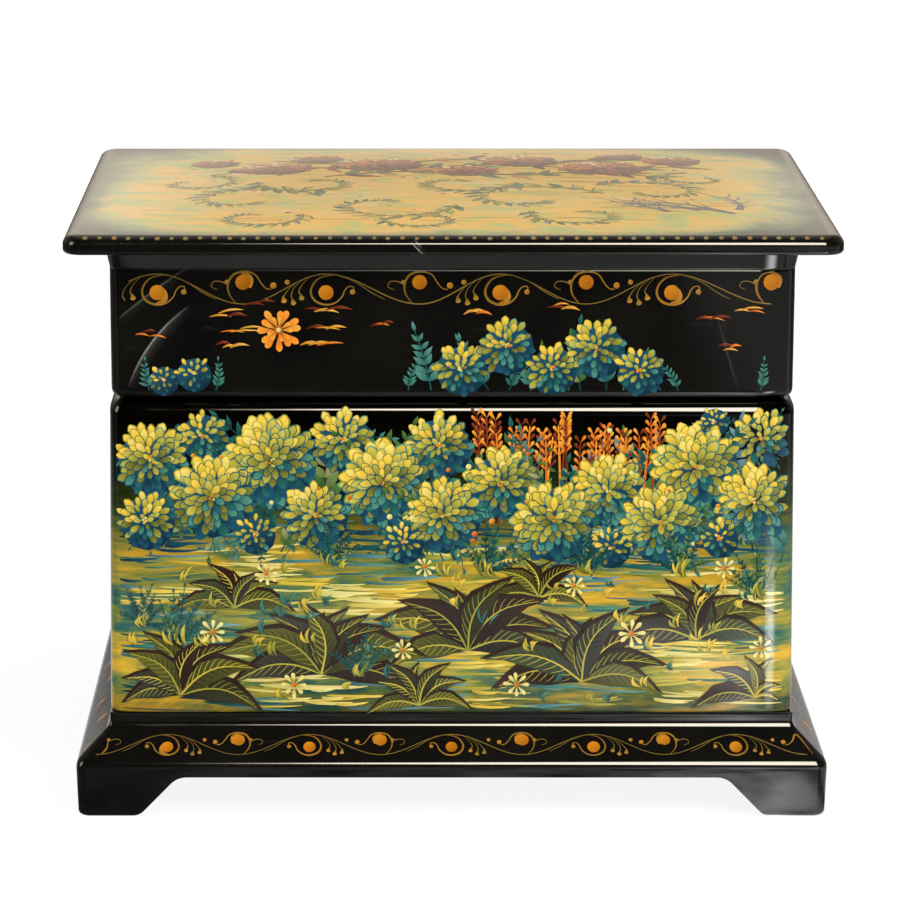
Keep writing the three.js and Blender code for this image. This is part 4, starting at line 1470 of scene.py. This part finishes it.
rimDesign = {
    "limit": 60.6,
    "foot": 1.4,  # sprays start this high
    "heads": [(1.5, 5.6, 4.4), (9.8, 9.6, 4.6), (18, 5.4, 4.2), (26, 9.2, 4.8), (34, 5.2, 4.0),
              (-52.5, 3.4, 2.6), (-47, 4.6, 3.0)],
    "sprigs": (-55, -43, -8, 41, 56),
    "star": (-31.5, 12.6),
    "wisps": [(-44, 15.4, 7), (-42, 12.6, 8), (-43, 9.6, 6), (-27, 16.2, 9), (-26.5, 12.8, 8),
              (-27.6, 9.4, 7), (-38, 17.4, 6), (-15, 13.6, 5), (44, 14.6, 6), (48, 9.4, 5),
              (51, 16.2, 6), (-57.5, 11.6, 6), (17, 16.8, 6), (2, 15.6, 5)],  # x, y, length
}


def paintRim():  # a low hedge of flower heads and an orange star flower among gold wisps
    panel = flatPanel(0, case["lid"][1], case["lidBottom"])
    art = Brushwork(pigments, 33, panel, rimDesign["limit"])
    chance, foot = art.chance, rimDesign["foot"]
    for index in range(13):
        x = -4 + 42 * index / 12 + chance.uniform(-1, 1)
        leafSpray(art, x, foot, math.pi / 2 + chance.uniform(-0.6, 0.6), chance.uniform(6, 12.5),
                  6, chance.choice((0.5, 1.2, 15.0)), chance.choice((0.8, 1.5, 15.0, 2.0)))
    for x, y, radius in rimDesign["heads"]:
        blossom(art, x, y, radius, bloomTones[:-1])
    for x in rimDesign["sprigs"]:
        leafSpray(art, x, foot, math.pi / 2 + chance.uniform(-0.5, 0.5), 5.5, 5, 1.0, 1.8)
    daisy(art, *rimDesign["star"], 3.6, 12, (9.3, 10.1), 10.6)
    daisy(art, *rimDesign["star"], 2.2, 9, (9.0, 9.4), 8.2)
    for x, y, length in rimDesign["wisps"]:
        for step in range(3):
            px, py = x + step * length * 0.22, y + chance.uniform(-0.5, 0.5)
            art.dab(px, py, chance.uniform(-0.16, 0.16), length * chance.uniform(0.4, 0.7),
                    chance.uniform(0.3, 0.6), chance.choice((9.0, 8.9, 10.0, 11.1)), bladeMark)
    planes, bend = bowedWall(case["lid"][0])
    art.finish("garden_rim", "lid", "painted_lacquer", flowerPaint, bend, planes)


lidDesign = {
    "limit": 64,
    "scrolls": [(-38, -17, 0.2, 14, 1), (-12, -24, 0.0, 13, -1), (15, -17, 0.4, 15, 1),
                (38, -8, 2.6, 12, -1), (-26, 0, 2.9, 11, 1), (2, -1, 0.1, 11, -1),
                (-49, 3, 1.2, 9, -1), (48, 8, 1.8, 8, 1), (24, -33, 2.8, 10, 1),
                (-36, -35, 0.3, 9, -1), (-5, -37, 3.0, 8, 1)],  # x, y, first turn, size, hand
    "twigs": [(52, -30, 2.5, 20), (50, -28, 2.0, 17), (46, -27, 2.9, 17), (53, -26, 1.7, 13),
              (40, -29, 2.4, 12)],  # x, y, angle, length
    "stems": [[(-46, 12), (-30, 20), (-10, 17), (10, 24), (30, 18), (48, 25)],
              [(-34, 30), (-16, 24), (4, 32), (22, 28), (40, 36)],
              [(-24, 8), (-8, 14), (12, 10), (28, 14), (42, 8)]],
    "heads": [(-34, 19, 6.5), (-14, 24, 7.5), (3, 15, 6.0), (14, 29, 7.0), (30, 20, 7.5),
              (44, 31, 5.5), (-26, 32, 5.0), (34, 36, 4.5), (-46, 27, 4.5)],
}


def creamTone(x, y):
    if (abs(x + 2) / 60) ** 3 + (abs(y - 2) / 44) ** 3 > 0.9:
        return None
    patch = noise.noise(Vector((x / 26, y / 13, 2.5)))
    return pick((5.8, 6.3, 6.8, 9.1, 9.4, 14.0, 8.4, 14.3), (patch + 0.45) / 0.9)


def directionAt(path, index):
    (x0, y0), (x1, y1) = path[index - 1], path[index]
    return x1, y1, math.atan2(y1 - y0, x1 - x0)


def leafyScroll(art, x, y, turn, size, hand):
    path = []
    for step in range(10):
        share = step / 9
        away, angle = size * (1 - 0.76 * share), turn + hand * 5.2 * share
        path.append((x + away * math.cos(angle), y + away * math.sin(angle)))
    smooth = smoothPath(path)
    for index in range(1, len(smooth) - 2, 3):
        px, py, along = directionAt(smooth, index)
        share = index / len(smooth)
        for side, reach in ((hand, 0.2), (-hand, 0.36)):
            length = size * reach * (1.15 - 0.75 * share) * art.chance.uniform(0.85, 1.15)
            tone = art.chance.choice((5.4, 6.0, 2.2, 13.0, 6.5, 15.4))
            for grow, slim, shade in ((1.1, 0.42, 4.6), (1, 0.34, tone)):
                art.dab(px, py, along + side * art.chance.uniform(0.5, 0.75), length * grow,
                        length * slim, shade, leafMark)
    art.line(path, [0.45, 0.36, 0.24, 0.1], 4.8)
    art.line(path, [0.2, 0.16, 0.1, 0.05], 6.4)


def twig(art, x, y, angle, length):
    path = [(x, y)]
    for _ in range(4):
        angle += art.chance.uniform(-0.35, 0.35)
        x, y = x + length / 4 * math.cos(angle), y + length / 4 * math.sin(angle)
        path.append((x, y))
        for hand in (-1, 1):
            shoot = [(x, y)]
            for away, turn in ((2.6, angle + hand * 0.7), (5, angle + hand * 0.5)):
                shoot.append((x + away * math.cos(turn), y + away * math.sin(turn)))
            art.line(shoot, [0.3, 0.2, 0.08], 12.7)
    art.line(path, [0.9, 0.5, 0.2], 12.6)


def leafyStem(art, stem):
    chance = art.chance
    art.line(stem, [0.3, 0.75, 0.6, 0.25], 11.2)
    smooth = smoothPath(stem)
    for index in range(2, len(smooth) - 1, 2):
        px, py, along = directionAt(smooth, index)
        for hand in (-1, 1):
            art.dab(px, py, along + hand * chance.uniform(0.5, 1.0), chance.uniform(5, 9),
                    chance.uniform(1.8, 3.0), chance.choice((11.0, 11.4, 10.6, 5.4, 15.0, 9.4)),
                    leafMark)


def paintLid():  # leafy scrolls over the front half, a russet flower spray over the back half
    art = Brushwork(pigments, 54, crownPanel, lidDesign["limit"])
    chance = art.chance
    groundStrokes(art, 260, (-58, 54), (-40, 44), creamTone, (5, 18), (0.25, 0.7))
    for values in lidDesign["scrolls"]:
        leafyScroll(art, *values)
    for values in lidDesign["twigs"]:
        twig(art, *values)
    for stem in lidDesign["stems"]:
        leafyStem(art, stem)
    for x, y, radius in lidDesign["heads"]:
        blossom(art, x, y, radius, russetTones, 1.5)
    for _ in range(60):
        x, y = chance.uniform(-50, 50), chance.uniform(-38, 42)
        art.dot(x, y, chance.uniform(0.7, 1.4), chance.choice((9.3, 10.2, 11.2)), 0.005)
    art.finish("garden_lid", "lid", "painted_lacquer", flowerPaint, ontoCrown)


paintFront()
paintRim()
paintLid()
print("painted panels made")


# The studio: a white sweep, a dark room in front of it, and soft lamps above the camera.

view = {
    "sensor": 36,
    "focal": 162.75,
    "shift": 0.0644,
    "place": (-10.97, -767.6, 235.0),
    "pitch": 13.01,  # degrees down
    "clip": (0.01, 50),  # metres
}


def makeCamera():
    lens = bpy.data.cameras.new("camera")
    lens.sensor_width, lens.lens, lens.shift_x = view["sensor"], view["focal"], view["shift"]
    lens.clip_start, lens.clip_end = view["clip"]
    camera = bpy.data.objects.new("camera", lens)
    camera.location = Vector(view["place"]) * mm
    camera.rotation_euler = (math.radians(90 - view["pitch"]), 0, 0)
    bpy.context.scene.collection.objects.link(camera)
    bpy.context.scene.camera = camera


lamps = {
    "aim": (0, 0, 60),
    "softboxRight": {"place": (330, -560, 520), "size": (420, 420), "watts": 4.8,
                     "colour": "#fffaf2"},
    "softboxLeft": {"place": (-620, -300, 620), "size": (500, 500), "watts": 3.0,
                    "colour": "#f4f8ff"},
    "stripRight": {"place": (620, -420, 160), "size": (90, 620), "watts": 1.2,
                   "colour": "#ffffff"},
}


def makeLamp(name):
    values = lamps[name]
    lamp = bpy.data.lights.new(name, "AREA")
    lamp.shape = "RECTANGLE"
    lamp.size, lamp.size_y = (side * mm for side in values["size"])
    lamp.energy = values["watts"]
    lamp.color = linearColour(values["colour"])[:3]
    holder = bpy.data.objects.new(name, lamp)
    holder.location = Vector(values["place"]) * mm
    aim = Vector(lamps["aim"]) * mm - holder.location
    holder.rotation_euler = aim.to_track_quat("-Z", "Y").to_euler()
    holder.visible_glossy = False  # the varnish sees the softer windows instead
    bpy.context.scene.collection.objects.link(holder)


room = {  # directions have a length of 1, +Y to the backdrop and +Z up
    "ambient": 0.5,
    "dark": 0.02,  # what the varnish sees in front of the backdrop
    "backdrop": 1.58,  # how bright the paper behind the box is in its varnish, at most
    "turn": (-0.25, 0.25),  # from the dark room to the backdrop, along Y
    "overhead": [(0.0, "#a4a4a4"), (0.1, "#c0c0c0"), (0.2, "#dadada"), (0.35, "#dadada"),
                 (0.6, "#b4b4b4"), (0.85, "#a8a8a8"), (1.0, "#6c6c6c")],  # by height in the room
    "mirroredTint": "#fff4e0",
    "sideways": (0.17, 0.36, 1.0, 0.22),  # the backdrop falls off from here to here, to this share
    "dimPlace": (0.022, 0.98, 0.2),
    "dimSpread": (9.5, 0.5, 7.0),  # one over the half sizes of the dim patch
    "dim": (0.5, 1.1, 0.47),  # its soft edge in half sizes, and how much light it leaves
    "windows": [
        # azimuth and elevation in degrees, half sizes as tangents, softness, taper, brightness
        (3.2, 31, 0.075, 0.31, 0.25, 0.22, 26.0),
        (-68, 24, 0.2, 0.3, 0.5, 1.0, 6.0),
    ],
}


def makeWindow(add, toward, light, azimuth, elevation, wide, high, soft, taper, glow):
    # a softbox as the varnish sees it: a soft-edged oblong that can narrow to the left
    spin = Matrix.Rotation(math.radians(elevation), 3, "X")
    spin = spin @ Matrix.Rotation(math.radians(-azimuth), 3, "Z")
    axes = [add("ShaderNodeVectorMath", [toward, spin.row[axis]], operation="DOT_PRODUCT")
            for axis in range(3)]
    near = add("ShaderNodeMath", [axes[1], -1.0], operation="MULTIPLY")
    depth = add("ShaderNodeMath", [near, 0.01], operation="MAXIMUM")
    across = add("ShaderNodeMath", [axes[0], depth], operation="DIVIDE")
    up = add("ShaderNodeMath", [axes[2], depth], operation="DIVIDE")
    narrow = add("ShaderNodeMapRange", [across, -wide, wide, high * taper, high])
    shine = glow
    for value, half in ((across, wide), (up, narrow)):
        ratio = add("ShaderNodeMath", [value, half], operation="DIVIDE")
        away = add("ShaderNodeMath", [ratio], operation="ABSOLUTE")
        edge = add("ShaderNodeMapRange", [away, 1 - soft, 1 + soft, 1.0, 0.0],
                   interpolation_type="SMOOTHSTEP")
        shine = add("ShaderNodeMath", [edge, shine], operation="MULTIPLY")
    facing = add("ShaderNodeMath", [near, 0.02], operation="GREATER_THAN")
    return add("ShaderNodeMath", [facing, shine, light], operation="MULTIPLY_ADD")


def makeRoom():  # plain white for the camera, the backdrop and the windows for the varnish
    world = bpy.data.worlds.new("studioRoom")
    bpy.context.scene.world = world
    world.use_nodes = True
    world.node_tree.nodes.clear()
    add = partial(addNode, world.node_tree)
    ray = add("ShaderNodeLightPath").outputs
    toward = add("ShaderNodeTexCoord").outputs["Generated"]
    way = add("ShaderNodeSeparateXYZ", [toward])
    behind = add("ShaderNodeMapRange", [way.outputs[1], *room["turn"]],
                 interpolation_type="SMOOTHSTEP")
    overhead = add("ShaderNodeValToRGB", [way.outputs[2]], stops=room["overhead"])
    light = add("ShaderNodeMath", [behind, overhead], operation="MULTIPLY")
    light = add("ShaderNodeMath", [light, room["backdrop"], room["dark"]],
                operation="MULTIPLY_ADD")
    sideway = add("ShaderNodeMath", [way], operation="ABSOLUTE")
    fall = add("ShaderNodeMapRange", [sideway, *room["sideways"]],
               interpolation_type="SMOOTHSTEP")
    light = add("ShaderNodeMath", [light, fall], operation="MULTIPLY")
    # a dim patch of backdrop straight behind the box keeps the middle of the lid rich in colour
    offset = add("ShaderNodeVectorMath", [toward, room["dimPlace"]], operation="SUBTRACT")
    offset = add("ShaderNodeVectorMath", [offset, room["dimSpread"]], operation="MULTIPLY")
    offset = add("ShaderNodeVectorMath", [offset], operation="LENGTH")
    dim = add("ShaderNodeMapRange", [offset, *room["dim"]], interpolation_type="SMOOTHSTEP")
    light = add("ShaderNodeMath", [light, dim], operation="MULTIPLY")
    for window in room["windows"]:
        light = makeWindow(add, toward, light, *window)
    plain = add("ShaderNodeBackground", {"Color": (1, 1, 1, 1), "Strength": 1.0})
    mirrored = add("ShaderNodeBackground",
                   {"Color": linearColour(room["mirroredTint"]), "Strength": light})
    ambient = add("ShaderNodeBackground", {"Color": (1, 1, 1, 1), "Strength": room["ambient"]})
    clear = add("ShaderNodeMath", [ray["Is Camera Ray"], ray["Is Transmission Ray"]],
                operation="MAXIMUM")
    first = add("ShaderNodeMixShader", [ray["Is Glossy Ray"], ambient, mirrored])
    second = add("ShaderNodeMixShader", [clear, first, plain])
    add("ShaderNodeOutputWorld", [second])


sweep = {
    "half": 3,  # metres
    "paper": "#f7f7f7",
    "white": 1.06,  # what the camera sees of the paper far from the box
    "shadow": 0.16,  # how much of the shadow on the paper is kept
    "shadowFades": (85, 170),  # mm from the middle
    # the rest says how bright the varnish sees the paper, with places in mm
    "front": -212,  # nearer the camera than this it is a dark room
    "frontBlend": 12,
    "frontRight": (74, 90, 0.012, 0.3),  # from here to here along X the room gets lighter
    "pool": [(0.0, "#2c2c2c"), (0.3, "#5a5a5a"), (0.62, "#747474"), (0.8, "#b0b0b0"),
             (0.9, "#ffffff"), (1.0, "#8c8c8c")],  # in front of the box, from left to right
    "poolReach": (-75, 75),
    "poolEnds": (-50, 0),
    "blotSize": 17,
    "blots": (0.36, 0.64, 0.5, 4.4),
    "behind": (100, 420, 0.62, 0.08),  # from here to here away from the middle it gets darker
    "calm": (-190, -170, 0.5),  # evenly grey in front of here; the cove mirrors it
    "gleam": {"start": (57, -45), "slant": (0.285, 0.11), "depth": (135, 105),
              "strength": 10.0},  # soft strip low on the body's right end
}


def makeGleam(add, parts):
    gleam = sweep["gleam"]
    across = add("ShaderNodeMath", [parts, gleam["start"][0] * mm], operation="SUBTRACT")
    depth = add("ShaderNodeMath", [gleam["start"][1] * mm, parts.outputs[1]],
                operation="SUBTRACT")
    depth = add("ShaderNodeMath", [depth, mm], operation="MAXIMUM")
    slant = add("ShaderNodeMath", [across, depth], operation="DIVIDE")
    shine = gleam["strength"]
    for value, name, unit in ((slant, "slant", 1), (depth, "depth", mm)):
        middle, reach = gleam[name]
        gap = add("ShaderNodeMath", [value, middle * unit], operation="SUBTRACT")
        gap = add("ShaderNodeMath", [gap], operation="ABSOLUTE")
        soft = add("ShaderNodeMapRange", [gap, 0.0, reach * unit, 1.0, 0.0],
                   interpolation_type="SMOOTHSTEP")
        shine = add("ShaderNodeMath", [soft, shine], operation="MULTIPLY")
    return shine


def makeSweep():
    half = sweep["half"]
    floor = newPiece("floor", [(-half, -half, 0), (half, -half, 0), (half, half, 0),
                               (-half, half, 0)], [(0, 1, 2, 3)])
    material, add = newMaterial("whitePaperSweep")
    ray = add("ShaderNodeLightPath").outputs
    place = add("ShaderNodeTexCoord").outputs["Object"]
    parts = add("ShaderNodeSeparateXYZ", [place])
    blend = sweep["frontBlend"]
    front = add("ShaderNodeMapRange", [parts.outputs[1], (sweep["front"] - blend) * mm,
                                       (sweep["front"] + blend) * mm],
                interpolation_type="SMOOTHSTEP")
    poolEnds = add("ShaderNodeMapRange", [parts.outputs[1], *inMetres(sweep["poolEnds"])])
    dark = add("ShaderNodeMapRange", [parts, *inMetres(sweep["frontRight"])])
    share = add("ShaderNodeMapRange", [parts, *inMetres(sweep["poolReach"])])
    pool = add("ShaderNodeValToRGB", [share], stops=sweep["pool"])
    noisy = add("ShaderNodeTexNoise",
                {"Vector": place, "Scale": 1 / (sweep["blotSize"] * mm), "Detail": 3.0})
    blots = add("ShaderNodeMapRange", [noisy, *sweep["blots"]])
    pool = add("ShaderNodeMath", [pool, blots], operation="MULTIPLY")
    away = add("ShaderNodeVectorMath", [place], operation="LENGTH")
    behind = add("ShaderNodeMapRange", [away, *inMetres(sweep["behind"])])
    paperGlow = add("ShaderNodeMix", {0: poolEnds, 2: pool, 3: behind})
    calmFrom, calmTo, calmGrey = inMetres(sweep["calm"])
    calm = add("ShaderNodeMapRange", [parts.outputs[1], calmFrom, calmTo],
               interpolation_type="SMOOTHSTEP")
    paperGlow = add("ShaderNodeMix", {0: calm, 2: calmGrey, 3: paperGlow})
    glow = add("ShaderNodeMix", {0: front, 2: dark, 3: paperGlow})
    glow = add("ShaderNodeMath", [glow, makeGleam(add, parts)], operation="ADD")
    fade = add("ShaderNodeMapRange",
               [away, *inMetres(sweep["shadowFades"]), 1 - sweep["shadow"], 1.0],
               interpolation_type="SMOOTHSTEP")
    paper = add("ShaderNodeBsdfDiffuse", {"Color": linearColour(sweep["paper"])})
    white = add("ShaderNodeEmission", {"Color": (1, 1, 1, 1), "Strength": sweep["white"]})
    mirrored = add("ShaderNodeEmission", {"Color": glow, "Strength": 1.0})
    seen = add("ShaderNodeMixShader", [fade, paper, white])
    lit = add("ShaderNodeMixShader", [ray["Is Camera Ray"], paper, seen])
    shown = add("ShaderNodeMixShader", [ray["Is Glossy Ray"], lit, mirrored])
    add("ShaderNodeOutputMaterial", {"Surface": shown})
    floor.data.materials.append(material)


makeCamera()
for name in ("softboxRight", "softboxLeft", "stripRight"):
    makeLamp(name)
makeRoom()
makeSweep()
bpy.context.scene.view_settings.view_transform = "Standard"
print("studio made")

for stamp in list(stampCollection.objects):
    bpy.data.objects.remove(stamp)
bpy.data.collections.remove(stampCollection)
